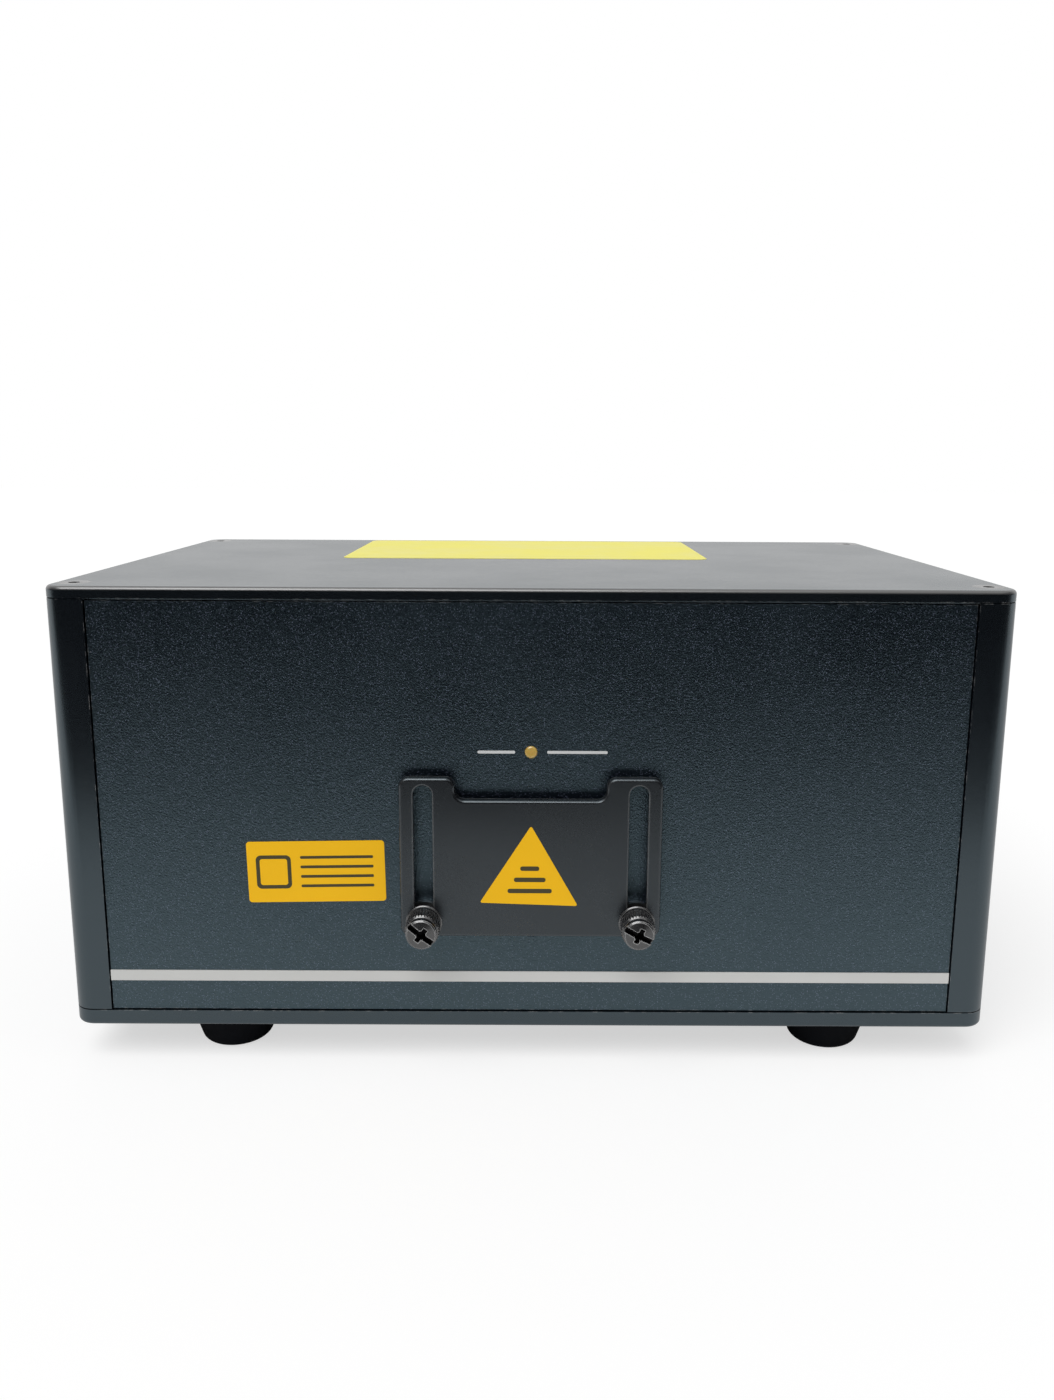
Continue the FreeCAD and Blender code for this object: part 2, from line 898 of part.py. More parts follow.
def housing():
    lid_top = lid_underside + s.lid_thickness
    base = cover_plate("base_plate", s.foot_height, s.base_thickness, 0)
    foot_holes = sketch_on(base, "XY", s.base_thickness)
    for x, y in foot_places:
        circle(foot_holes, x, y, foot_hole_radius)
    pocket(base, foot_holes, s.base_thickness)
    lid = cover_plate("top_lid", lid_underside, s.lid_thickness, s.lid_thickness)
    bevel_edges(lid, s.seam_bevel, outer_rim(0))
    for name, side in SIDES:
        side_profile(name, side)
    bracket_inserts()
    rubber_feet()
    lid_screws = []
    base_screws = []
    for number, (x, y) in enumerate(cover_screw_places, 1):
        lid_screws.append(cover_screw(f"lid_screw_{number}", x, y, lid_top))
        base_screws.append(
            cover_screw(f"base_screw_{number}", x, y, s.foot_height, axis=X_AXIS, turn=180)
        )
    group("lid_screws", lid_screws)
    group("base_screws", base_screws)


# Levels on the front panel
led_level = deck + s.led_rise
shutter_low = deck + s.shutter_rise
shutter_high = shutter_low + s.shutter_height
thumb_level = shutter_low + s.slot_low_web + s.slot_width / 2 + s.slot_end_gap
aperture_level = deck + s.aperture_rise
shutter_rear = front_face - s.shutter_gap
shutter_front = shutter_rear - s.shutter_thickness
thumb_places = [(name, side * s.slot_spacing / 2) for name, side in SIDES]


def front_panel():
    body = new_body("front_panel", y=front_inside)
    sketch = sketch_on(body, "XZ")
    panel_middle = (panel_low + panel_high) / 2
    rectangle(sketch, 0, panel_middle, panel_half_width * 2, panel_high - panel_low)
    rectangle(sketch, 0, aperture_level, s.aperture_width, s.aperture_height, s.aperture_corner)
    circle(sketch, 0, led_level, s.led_radius + s.fit_clearance)
    for _, x in thumb_places:
        circle(sketch, x, thumb_level, s.standoff_stem_radius + s.fit_clearance)
    pad(body, sketch, s.panel_thickness)
    keep(body)


def trim_strip():
    body = new_body("trim_strip", y=front_face)
    sketch = sketch_on(body, "XZ")
    rectangle(sketch, 0, deck + s.strip_rise + s.strip_height / 2, panel_half_width * 2, s.strip_height)
    pad(body, sketch, s.strip_thickness)
    keep(body)


def shutter_plate():
    """Plate with an open notch at its top and a long slot in each ear."""
    body = new_body("shutter_plate", y=shutter_rear)
    sketch = sketch_on(body, "XZ")
    edge = s.shutter_width / 2
    notch = s.notch_width / 2
    notch_low = shutter_high - s.notch_depth
    right = [
        (edge, shutter_low, s.shutter_corner),
        (edge, shutter_high, s.shutter_corner),
        (notch, shutter_high, s.shutter_corner),
        (notch, notch_low, s.shutter_corner),
    ]
    left = [(-x, y, radius) for x, y, radius in reversed(right)]
    outline(sketch, right + left)
    radius = s.slot_width / 2
    for _, x in thumb_places:
        slot_low = shutter_low + s.slot_low_web + radius
        slot_high = shutter_high - s.slot_top_web - radius
        upright_slot(sketch, x, slot_low, slot_high, radius)
    pad(body, sketch, s.shutter_thickness)
    doc.recompute()
    at_face = flat_at("Y", -s.shutter_thickness)
    slot_line = (s.slot_spacing / 2).number
    slot_half = radius.number + 1e-4

    def slot_edge(line):
        box = line.BoundBox
        return at_face(line) and all(abs(abs(x) - slot_line) < slot_half for x in (box.XMin, box.XMax))

    round_edges(body, s.shutter_edge, lambda line: at_face(line) and not slot_edge(line))
    round_edges(body, s.slot_edge, slot_edge)
    keep(body)


def thumbscrew(name, x, turn):
    """Knurled screw: flange, straight knurl, crowned cap with a slot and a cross, and a plain shank."""
    head = s.thumb_collar_length + s.thumb_knurl_length
    tip = head + s.thumb_cap_length
    rim = tip - s.thumb_crown
    shank = s.thumb_gap + s.shutter_thickness + s.shutter_gap + s.panel_thickness + s.standoff_tail
    body = turned(
        f"thumbscrew_{name}",
        [
            (0, -shank),
            (s.thumb_shank_radius, -shank),
            (s.thumb_shank_radius, 0),
            (s.thumb_flange_radius, 0),
            (s.thumb_flange_radius, s.thumb_flange_length - s.thumb_flange_edge),
            (s.thumb_flange_radius - s.thumb_flange_edge, s.thumb_flange_length),
            (s.thumb_radius, s.thumb_flange_length),
            (s.thumb_radius, head - s.thumb_knurl_edge),
            (s.thumb_radius - s.thumb_knurl_edge, head),
            (s.thumb_cap_radius, head),
            (s.thumb_cap_radius, rim - s.thumb_cap_edge),
            (s.thumb_cap_radius - s.thumb_cap_edge, rim),
            (0, tip),
        ],
        x=x, y=shutter_front - s.thumb_gap, z=thumb_level, **TO_FRONT,
    )
    valley = s.thumb_radius - s.thumb_tooth_depth
    outside = s.thumb_radius + s.thumb_tooth_depth
    groove = sketch_on(body, "XY", head)
    outline(groove, [(valley, 0), (outside, -s.thumb_groove_width), (outside, s.thumb_groove_width)])
    polar(body, [pocket(body, groove, s.thumb_knurl_length)], "Z", s.thumb_teeth)
    slots = ((2 * s.thumb_radius, s.thumb_slot_width), (s.thumb_cross_width, s.thumb_cross_length))
    for length, width in slots:
        slot = sketch_on(body, "XY", tip)
        rectangle(slot, 0, 0, length, width)
        bind(slot, "AttachmentOffset.Rotation.Angle", turn)
        pocket(body, slot, s.thumb_slot_depth)
    recess = sketch_on(body, "XY", tip)
    circle(recess, 0, 0, s.thumb_recess_radius)
    pocket(body, recess, s.thumb_recess_depth)
    keep(body)


def shutter_standoffs():
    """Shouldered sleeves pressed through the panel, which space the shutter off it."""
    bore = s.thumb_shank_radius + s.fit_clearance
    shoulder = s.shutter_gap - s.standoff_gap
    tail = -(s.panel_thickness + s.standoff_tail)
    pieces = []
    for name, x in thumb_places:
        profile = [
            (bore, tail),
            (s.standoff_stem_radius, tail),
            (s.standoff_stem_radius, 0),
            (s.standoff_shoulder_radius, 0),
            (s.standoff_shoulder_radius, shoulder),
            (bore, shoulder),
        ]
        pieces.append(
            turned(f"shutter_standoff_{name}", profile, x=x, y=front_face, z=thumb_level, **TO_FRONT)
        )
    group("shutter_standoffs", pieces)


def aperture():
    """Glass on a gasket behind the opening, held by a stepped frame."""
    glass_width = s.aperture_width + 2 * s.glass_lap
    glass_height = s.aperture_height + 2 * s.glass_lap
    gasket = new_body("glass_gasket", y=front_inside)
    sketch = sketch_on(gasket, "XZ")
    rectangle(sketch, 0, aperture_level, glass_width, glass_height)
    rectangle(sketch, 0, aperture_level, s.aperture_width, s.aperture_height, s.aperture_corner)
    pad(gasket, sketch, s.gasket_thickness, back=True)
    keep(gasket)

    glass = new_body("aperture_glass", y=front_inside + s.gasket_thickness)
    sketch = sketch_on(glass, "XZ")
    rectangle(sketch, 0, aperture_level, glass_width, glass_height)
    pad(glass, sketch, s.glass_thickness, back=True)
    keep(glass)

    depth = s.gasket_thickness + s.glass_thickness
    room_width = glass_width + 2 * s.glass_play
    room_height = glass_height + 2 * s.glass_play
    frame = new_body("glass_frame", y=front_inside)
    sketch = sketch_on(frame, "XZ")
    rectangle(sketch, 0, aperture_level, room_width + 2 * s.frame_wall, room_height + 2 * s.frame_wall)
    rectangle(sketch, 0, aperture_level, s.aperture_width, s.aperture_height, s.aperture_corner)
    pad(frame, sketch, depth + s.frame_back, back=True)
    doc.recompute()
    seat = sketch_on(frame, "XZ")
    rectangle(seat, 0, aperture_level, room_width, room_height)
    pocket(frame, seat, depth)
    keep(frame)


def emission_led():
    """Domed light pressed into the panel from behind, on a small board."""
    back = -(s.panel_thickness + s.led_tail)
    flange = back + s.led_flange_thickness
    body = turned(
        "emission_led",
        [
            (0, back),
            (s.led_flange_radius, back),
            (s.led_flange_radius, flange),
            (s.led_radius, flange),
            (s.led_radius, s.led_proud),
            (0, s.led_proud),
        ],
        y=front_face, z=led_level, **TO_FRONT,
    )
    round_edges(body, s.led_proud, flat_at("Z", s.led_proud))
    keep(body)
    board = new_body("led_board", y=front_inside + s.led_tail)
    sketch = sketch_on(board, "XZ")
    rectangle(sketch, 0, led_level, s.led_board_width, s.led_board_height)
    pad(board, sketch, s.board_thickness, back=True)
    keep(board)


def front():
    front_panel()
    trim_strip()
    shutter_plate()
    thumbscrew("left", thumb_places[0][1], s.thumb_left_turn)
    thumbscrew("right", thumb_places[1][1], s.thumb_right_turn)
    shutter_standoffs()
    aperture()
    emission_led()


# The beam reaches the X mirror from the right, goes up to the Y mirror and leaves through the aperture
scan_depth = front_inside + s.scan_setback
x_scan_level = aperture_level - s.scan_drop


def galvo(name, mirror_width, mirror_length, mirror_turn, where):
    """Galvo motor along its own Z axis with the mirror's middle at the origin."""
    nose = -s.galvo_nose_gap
    tail = nose - s.galvo_length
    bore = s.galvo_shaft_radius + s.fit_clearance
    keep(
        turned(
            f"galvo_{name}_body",
            [
                (bore, nose),
                (s.galvo_radius, nose),
                (s.galvo_radius, tail),
                (s.galvo_plug_radius, tail),
                (s.galvo_plug_radius, tail - s.galvo_plug_length),
                (0, tail - s.galvo_plug_length),
                (0, nose - s.galvo_shaft_depth),
                (bore, nose - s.galvo_shaft_depth),
            ],
            **where,
        )
    )
    mirror_low = -mirror_length / 2
    clamp_low = nose + s.galvo_clamp_gap
    clamp_high = mirror_low + s.mirror_grip
    rotor = turned(
        f"galvo_{name}_rotor",
        [
            (0, nose - s.galvo_shaft_depth + s.galvo_clamp_gap),
            (s.galvo_shaft_radius, nose - s.galvo_shaft_depth + s.galvo_clamp_gap),
            (s.galvo_shaft_radius, clamp_low),
            (s.galvo_clamp_radius, clamp_low),
            (s.galvo_clamp_radius, clamp_high),
            (0, clamp_high),
        ],
        **where,
    )
    slot = sketch_on(rotor, "XY", clamp_high)
    rectangle(slot, 0, 0, mirror_width, s.scan_mirror_thickness)
    slot.AttachmentOffset = FreeCAD.Placement(FreeCAD.Vector(), FreeCAD.Rotation(Z_AXIS, mirror_turn))
    bind(slot, "AttachmentOffset.Base.z", clamp_high)
    pocket(rotor, slot, s.mirror_grip)
    keep(rotor)
    mirror = new_body(f"galvo_{name}_mirror", **where)
    sketch = sketch_on(mirror, "XY", mirror_low)
    rectangle(sketch, 0, 0, mirror_width, s.scan_mirror_thickness)
    sketch.AttachmentOffset = FreeCAD.Placement(FreeCAD.Vector(), FreeCAD.Rotation(Z_AXIS, mirror_turn))
    bind(sketch, "AttachmentOffset.Base.z", mirror_low)
    pad(mirror, sketch, mirror_length)
    keep(mirror)


def galvo_mount(name, plane, level, where):
    """Block with a bore for the motor, standing on the base plate."""
    body = new_body(f"galvo_{name}_mount", **where)
    sketch = sketch_on(body, plane)
    edge = s.galvo_mount_width / 2
    height = level - deck
    top = height + s.galvo_radius + s.galvo_mount_wall
    outline(
        sketch,
        [(-edge, 0), (edge, 0), (edge, top, s.galvo_mount_corner), (-edge, top, s.galvo_mount_corner)],
    )
    circle(sketch, 0, height, s.galvo_radius + s.fit_clearance)
    pad(body, sketch, s.galvo_mount_length, back=True)
    keep(body)


def scanner():
    nose_to_mount = s.galvo_nose_gap + s.galvo_mount_setback
    galvo(
        "x", s.x_mirror_width, s.x_mirror_length, DIAGONAL,
        {"y": scan_depth, "z": x_scan_level, **TO_FRONT},
    )
    galvo(
        "y", s.y_mirror_width, s.y_mirror_length, -DIAGONAL,
        {"y": scan_depth, "z": aperture_level, "axis": Y_AXIS, "turn": 90},
    )
    galvo_mount("x", "XZ", x_scan_level, {"y": scan_depth + nose_to_mount, "z": deck})
    galvo_mount("y", "YZ", aperture_level, {"x": -nose_to_mount, "y": scan_depth, "z": deck})


supply_left = -wall_inside + s.supply_side_gap
supply_right = supply_left + s.supply_width
bench_right = wall_inside - s.bench_side_gap
bench_left = bench_right - s.bench_width
module_places = [
    (name, bench_right - s.module_side_gap - s.module_width / 2 - step * s.module_pitch)
    for step, name in enumerate(("blue", "green", "red"))
]
module_front = scan_depth + s.module_setback


def laser_module(name, x):
    """Finned block with a lens barrel that points to the front."""
    body = new_body(f"{name}_laser_module", x=x, y=module_front, z=bench_top)
    block = sketch_on(body, "XZ")
    rectangle(block, 0, s.module_height / 2, s.module_width, s.module_height)
    pad(body, block, s.module_length, back=True)
    beam = x_scan_level - bench_top
    barrel = sketch_on(body, "XZ")
    circle(barrel, 0, beam, s.barrel_radius)
    circle(barrel, 0, beam, s.barrel_bore_radius)
    pad(body, barrel, s.barrel_length)
    doc.recompute()
    fins_start = (s.module_length - s.module_fin_pitch * (s.module_fin_count - 1)) / 2
    slot = sketch_on(body, "XY", s.module_height)
    rectangle(slot, 0, fins_start, s.module_width, s.module_fin_slot)
    row_of(body, pocket(body, slot, s.module_fin_depth), "Y", s.module_fin_pitch, s.module_fin_count)
    keep(body)


def combining_mirrors():
    """Slotted posts on the bench, each with an upright mirror at 45 degrees to the beam."""
    mirror_low = x_scan_level - s.combining_mirror_height / 2
    holder_top = mirror_low + s.holder_slot_depth
    holders = []
    mirrors = []
    for name, x in module_places:
        holder = new_body(f"{name}_mirror_holder", x=x, y=scan_depth, z=bench_top)
        sketch = sketch_on(holder, "XY")
        rectangle(sketch, 0, 0, s.holder_size, s.holder_size)
        pad(holder, sketch, holder_top - bench_top)
        doc.recompute()
        slot = sketch_on(holder, "XY", holder_top - bench_top)
        rectangle(slot, 0, 0, 2 * s.holder_size, s.combining_mirror_thickness)
        slot.AttachmentOffset = FreeCAD.Placement(FreeCAD.Vector(), FreeCAD.Rotation(Z_AXIS, DIAGONAL))
        bind(slot, "AttachmentOffset.Base.z", holder_top - bench_top)
        pocket(holder, slot, s.holder_slot_depth)
        holders.append(holder)
        mirror = new_body(f"{name}_mirror", x=x, y=scan_depth, z=mirror_low, axis=Z_AXIS, turn=DIAGONAL)
        sketch = sketch_on(mirror, "XY")
        rectangle(sketch, 0, 0, s.combining_mirror_width, s.combining_mirror_thickness)
        pad(mirror, sketch, s.combining_mirror_height)
        mirrors.append(mirror)
    group("mirror_holders", holders)
    group("combining_mirrors", mirrors)


def laser_engine():
    bench = new_body("optical_bench", x=bench_left, y=front_inside + s.bench_front_gap, z=deck)
    sketch = sketch_on(bench, "XY")
    rectangle(sketch, s.bench_width / 2, s.bench_length / 2, s.bench_width, s.bench_length, s.bench_corner)
    pad(bench, sketch, s.bench_thickness)
    keep(bench)
    for name, x in module_places:
        laser_module(name, x)
    combining_mirrors()


def power_supply():
    """Closed case with vent slots across its top and a lower terminal shelf at its rear end."""
    middle = supply_left + s.supply_width / 2
    body = new_body("power_supply", x=middle, y=front_inside + s.supply_front_gap, z=deck)
    sketch = sketch_on(body, "XY")
    rectangle(sketch, 0, s.supply_length / 2, s.supply_width, s.supply_length, s.supply_corner)
    pad(body, sketch, s.supply_height)
    doc.recompute()
    shelf = sketch_on(body, "XY", s.supply_height)
    shelf_middle = s.supply_length - s.supply_terminal_length / 2
    rectangle(shelf, 0, shelf_middle, s.supply_width, s.supply_terminal_length)
    pocket(body, shelf, s.supply_height - s.supply_terminal_height)
    covered = s.supply_length - s.supply_terminal_length
    first_slot = (covered - s.supply_slot_pitch * (s.supply_slot_count - 1)) / 2
    vent = sketch_on(body, "XY", s.supply_height)
    rectangle(vent, 0, first_slot, s.supply_slot_length, s.supply_slot_width)
    row_of(body, pocket(body, vent, s.supply_slot_depth), "Y", s.supply_slot_pitch, s.supply_slot_count)
    keep(body)


def circuit_board(label, width, length, where):
    """Board in its own XY plane with corner holes, chips, coils and a socket on its upper face."""
    body = new_body(label, **where)
    sketch = sketch_on(body, "XY")
    rectangle(sketch, 0, 0, width, length)
    for x, y in four_places(width / 2 - s.board_hole_inset, length / 2 - s.board_hole_inset):
        circle(sketch, x, y, s.rear_screw_radius)
    pad(body, sketch, s.board_thickness)
    middle_row = length / 2 - 2 * s.board_hole_inset - s.socket_width / 2
    chips = sketch_on(body, "XY", s.board_thickness)
    for step in (-1, 0, 1):
        rectangle(chips, step * width / 3, 0, width / 4, s.chip_width)
    pad(body, chips, s.chip_height)
    coils = sketch_on(body, "XY", s.board_thickness)
    for step in (-1, 1):
        rectangle(coils, step * width / 4, -middle_row, width / 4, s.socket_width)
    pad(body, coils, s.coil_height)
    plug = sketch_on(body, "XY", s.board_thickness)
    rectangle(plug, 0, middle_row, s.socket_length, s.socket_width)
    pad(body, plug, s.socket_height)
    return keep(body)


def board_posts(label, width, length, placed):
    """Posts under a board's corner holes; placed gives the placement of one from its place on the board."""
    posts = []
    corners = four_places(width / 2 - s.board_hole_inset, length / 2 - s.board_hole_inset)
    for number, (across, along) in enumerate(corners, 1):
        post = doc.addObject("Part::Cylinder", f"{label}_standoff_{number}")
        bind(post, "Radius", s.board_standoff_radius)
        bind(post, "Height", s.board_standoff_height)
        place(post, **placed(across, along))
        posts.append(post)
    return posts


def electronics():
    power_supply()
    board_width = bench_left - supply_right - 2 * s.control_board_gap
    board_middle = (supply_right + bench_left) / 2
    board_level = deck + s.board_standoff_height
    control_y = rear_inside - s.control_board_rear_gap - s.control_board_length / 2
    circuit_board(
        "control_board", board_width, s.control_board_length,
        {"x": board_middle, "y": control_y, "z": board_level},
    )
    posts = board_posts(
        "control_board", board_width, s.control_board_length,
        lambda across, along: {"x": board_middle + across, "y": control_y + along, "z": deck},
    )
    wall_y = front_inside + s.wall_board_front_gap + s.wall_board_length / 2
    wall_board_height = wall_height - s.wall_board_rise - s.wall_board_top_gap
    wall_z = deck + s.wall_board_rise + wall_board_height / 2
    for label, side in (("scanner_driver_board", -1), ("laser_driver_board", 1)):
        wall = side * wall_inside
        inwards = {"axis": Y_AXIS, "turn": -90 * side}
        circuit_board(
            label, wall_board_height, s.wall_board_length,
            {"x": wall - side * s.board_standoff_height, "y": wall_y, "z": wall_z, **inwards},
        )
        posts += board_posts(
            label, wall_board_height, s.wall_board_length,
            lambda across, along: {"x": wall, "y": wall_y + along, "z": wall_z + across, **inwards},
        )
    group("board_standoffs", posts)


def spread(low, high, lengths):
    """Middles of pieces that stand in a line between two ends with equal gaps."""
    gap = (high - low - sum(lengths)) / (len(lengths) + 1)
    middles = []
    reached = low
    for length in lengths:
        middles.append(reached + gap + length / 2)
        reached = reached + gap + length
    return middles


# Levels and places on the rear panel: the fan at its left, the inlet below the key switch at its right,
# and three rows of sockets between them
fan_middle = s.fan_side_gap + s.fan_size / 2 - tab_tip
fan_level = (panel_low + panel_high) / 2
inlet_middle = tab_tip - s.inlet_side_gap - s.inlet_width / 2
inlet_level, key_level = spread(deck, lid_underside, [s.inlet_height, 2 * s.key_bezel_radius])
socket_rows = [s.interlock_height, s.dmx_flange_height, s.signal_flange_height]
low_row_level, dmx_level, signal_level = spread(deck, lid_underside, socket_rows)
socket_room = (fan_middle + s.fan_size / 2, inlet_middle - s.inlet_width / 2)
safety_middle, interlock_middle = spread(*socket_room, [s.safety_plate_width, s.interlock_width])
dmx_out_middle, dmx_in_middle = spread(*socket_room, [s.dmx_flange_width, s.dmx_flange_width])
signal_middle = sum(socket_room) / 2
fan_bore_radius = s.fan_size / 2 - s.fan_wall
fan_hole_spacing = s.fan_size - 2 * s.fan_hole_inset
fan_hole_radius = s.fan_screw_radius + s.fan_hole_clearance
fan_screw_places = [
    (fan_middle + x, fan_level + z) for x, z in four_places(fan_hole_spacing / 2, fan_hole_spacing / 2)
]
dmx_screw_offsets = [
    (side * s.dmx_screw_spacing_x / 2, side * -s.dmx_screw_spacing_z / 2) for side in (-1, 1)
]
safety_screw_offset = s.safety_plate_width / 2 - s.rear_screw_head_radius
rear_hole_radius = s.rear_screw_radius + s.fit_clearance
inlet_body_width = s.inlet_width - 2 * s.inlet_rim
inlet_body_height = s.inlet_height - 2 * s.inlet_rim


def small_screw_places():
    """Every place where a small pan head screw goes into the rear panel, with the seat's height off it."""
    places = [(x, z, 0) for x, z in rear_screw_places]
    for middle in (dmx_in_middle, dmx_out_middle):
        places += [(middle + x, dmx_level + z, s.dmx_flange_thickness) for x, z in dmx_screw_offsets]
    for side in (-1, 1):
        places.append((safety_middle + side * safety_screw_offset, low_row_level, s.safety_plate_thickness))
    return places


def rear_panel():
    body = new_body("rear_panel", y=rear_inside)
    sketch = sketch_on(body, "XZ")
    panel_middle = (panel_low + panel_high) / 2
    rectangle(sketch, 0, panel_middle, panel_half_width * 2, panel_high - panel_low)
    circle(sketch, fan_middle, fan_level, fan_bore_radius)
    for x, z in fan_screw_places:
        circle(sketch, x, z, fan_hole_radius)
    inlet_room = 2 * s.inlet_play
    rectangle(
        sketch, inlet_middle, inlet_level, inlet_body_width + inlet_room, inlet_body_height + inlet_room
    )
    circle(sketch, inlet_middle, key_level, s.key_barrel_radius + s.fit_clearance)
    rectangle(
        sketch, signal_middle, signal_level,
        s.signal_block_width + inlet_room, s.signal_block_height + inlet_room,
    )
    for middle in (dmx_in_middle, dmx_out_middle):
        circle(sketch, middle, dmx_level, s.dmx_sleeve_radius + s.inlet_play)
    rectangle(
        sketch, interlock_middle, low_row_level,
        s.interlock_width + inlet_room, s.interlock_height + inlet_room,
    )
    for x, z, _ in small_screw_places():
        circle(sketch, x, z, rear_hole_radius)
    pad(body, sketch, s.panel_thickness, back=True)
    keep(body)


def pan_screw(label, x, z, seat, radius, reach, head_radius, head_height):
    """Pan head screw into the rear panel with a cross recess; its head sits on the seat."""
    bevel = head_height / 2
    screw = turned(
        label,
        [
            (0, -reach),
            (radius, -reach),
            (radius, 0),
            (head_radius, 0),
            (head_radius, head_height - bevel),
            (head_radius - bevel, head_height),
            (0, head_height),
        ],
        x=x, y=rear_face + seat, z=z, **TO_REAR,
    )
    cross_recess(screw, head_height, s.screw_cross_length, s.screw_cross_width, s.screw_cross_depth)
    return screw


def rear_screws():
    pieces = []
    for number, (x, z, seat) in enumerate(small_screw_places(), 1):
        pieces.append(
            pan_screw(
                f"rear_screw_{number}", x, z, seat, s.rear_screw_radius, seat + s.rear_screw_length,
                s.rear_screw_head_radius, s.rear_screw_head_height,
            )
        )
    group("rear_screws", pieces)


def fan_frame():
    """Square frame with a round bore, and struts at its inner end that carry the motor boss."""
    body = new_body("fan_frame", x=fan_middle, y=rear_inside, z=fan_level)
    sketch = sketch_on(body, "XZ")
    rectangle(sketch, 0, 0, s.fan_size, s.fan_size, s.fan_corner)
    circle(sketch, 0, 0, fan_bore_radius)
    for x, z in four_places(fan_hole_spacing / 2, fan_hole_spacing / 2):
        circle(sketch, x, z, fan_hole_radius)
    pad(body, sketch, s.fan_depth)
    strut_level = s.fan_depth - s.fan_strut_thickness
    reach = 2 * fan_bore_radius + s.fan_strut_width / 2
    for width, height in ((reach, s.fan_strut_width), (s.fan_strut_width, reach)):
        strut = sketch_on(body, "XZ", strut_level)
        rectangle(strut, 0, 0, width, height)
        pad(body, strut, s.fan_strut_thickness)
    hub = sketch_on(body, "XZ", strut_level)
    circle(hub, 0, 0, s.fan_hub_radius)
    pad(body, hub, s.fan_strut_thickness)
    boss = sketch_on(body, "XZ", strut_level)
    circle(boss, 0, 0, s.fan_boss_radius)
    pad(body, boss, s.fan_boss_length, back=True)
    doc.recompute()
    bearing = sketch_on(body, "XZ", strut_level - s.fan_boss_length)
    circle(bearing, 0, 0, s.fan_shaft_radius + s.fit_clearance)
    pocket(body, bearing, s.fan_boss_length, back=True)
    keep(body)


def fan_rotor():
    """Cup with twisted blades round it and a shaft in the frame's boss."""
    hub_length = s.fan_depth - s.fan_strut_thickness - s.fan_hub_gap - s.fan_face_gap
    cap = hub_length - s.fan_hub_wall
    shaft_low = s.slide_gap - s.fan_hub_gap
    body = turned(
        "fan_rotor",
        [
            (0, shaft_low),
            (s.fan_shaft_radius, shaft_low),
            (s.fan_shaft_radius, cap),
            (s.fan_hub_radius - s.fan_hub_wall, cap),
            (s.fan_hub_radius - s.fan_hub_wall, 0),
            (s.fan_hub_radius, 0),
            (s.fan_hub_radius, hub_length),
            (0, hub_length),
        ],
        x=fan_middle, z=fan_level,
        y=rear_inside - s.fan_depth + s.fan_strut_thickness + s.fan_hub_gap, **TO_REAR,
    )
    low = s.fan_blade_end_gap
    high = hub_length - s.fan_blade_end_gap
    tip = fan_bore_radius - s.fan_tip_gap
    half = s.fan_blade_thickness / 2
    sections = []
    for reach, sweep in (
        (s.fan_hub_radius - s.fan_hub_wall / 2, s.fan_blade_root_sweep),
        (tip - s.fan_tip_gap, s.fan_blade_tip_sweep),
    ):
        section = sketch_on(body, "YZ", reach)
        outline(
            section,
            [
                (-sweep / 2 - half, low),
                (-sweep / 2 + half, low),
                (sweep / 2 + half, high),
                (sweep / 2 - half, high),
            ],
        )
        sections.append(section)
    blade = body.newObject("PartDesign::AdditiveLoft", "fan_blade")
    blade.Profile = sections[0]
    blade.Sections = sections[1:]
    doc.recompute()
    polar(body, [blade], "Z", s.fan_blade_count)
    keep(body)


def fan_guard():
    """Flat rings and diagonal spokes that end in an eye round each fan screw."""
    body = new_body("fan_guard", x=fan_middle, y=rear_face, z=fan_level, **TO_REAR)
    half = s.guard_wire_width / 2
    ring_pitch = (fan_bore_radius - s.guard_inner_radius) / (s.guard_ring_count - 1)
    rings = sketch_on(body, "XY")
    for step in range(int(s.guard_ring_count.number)):
        for edge in (-half, half):
            circle(rings, 0, 0, s.guard_inner_radius + step * ring_pitch + edge)
    pad(body, rings, s.guard_thickness)
    diagonal = fan_hole_spacing * math.sqrt(0.5)
    eye_radius = fan_hole_radius + s.guard_wire_width
    spoke_length = diagonal - fan_hole_radius - half - s.guard_inner_radius
    eye = sketch_on(body, "XY")
    circle(eye, diagonal, 0, fan_hole_radius)
    circle(eye, diagonal, 0, eye_radius)
    spoke = sketch_on(body, "XY")
    rectangle(spoke, s.guard_inner_radius + spoke_length / 2, 0, spoke_length, s.guard_wire_width)
    corner = []
    for sketch in (eye, spoke):
        sketch.AttachmentOffset = FreeCAD.Placement(FreeCAD.Vector(), FreeCAD.Rotation(Z_AXIS, DIAGONAL))
        corner.append(pad(body, sketch, s.guard_thickness))
    doc.recompute()
    polar(body, corner, "Z", len(fan_screw_places))
    keep(body)


def fan_screws():
    reach = s.guard_thickness + s.panel_thickness + s.fan_depth
    pieces = []
    for number, (x, z) in enumerate(fan_screw_places, 1):
        pieces.append(
            pan_screw(
                f"fan_screw_{number}", x, z, s.guard_thickness, s.fan_screw_radius, reach,
                s.fan_screw_head_radius, s.fan_screw_head_height,
            )
        )
    group("fan_screws", pieces)


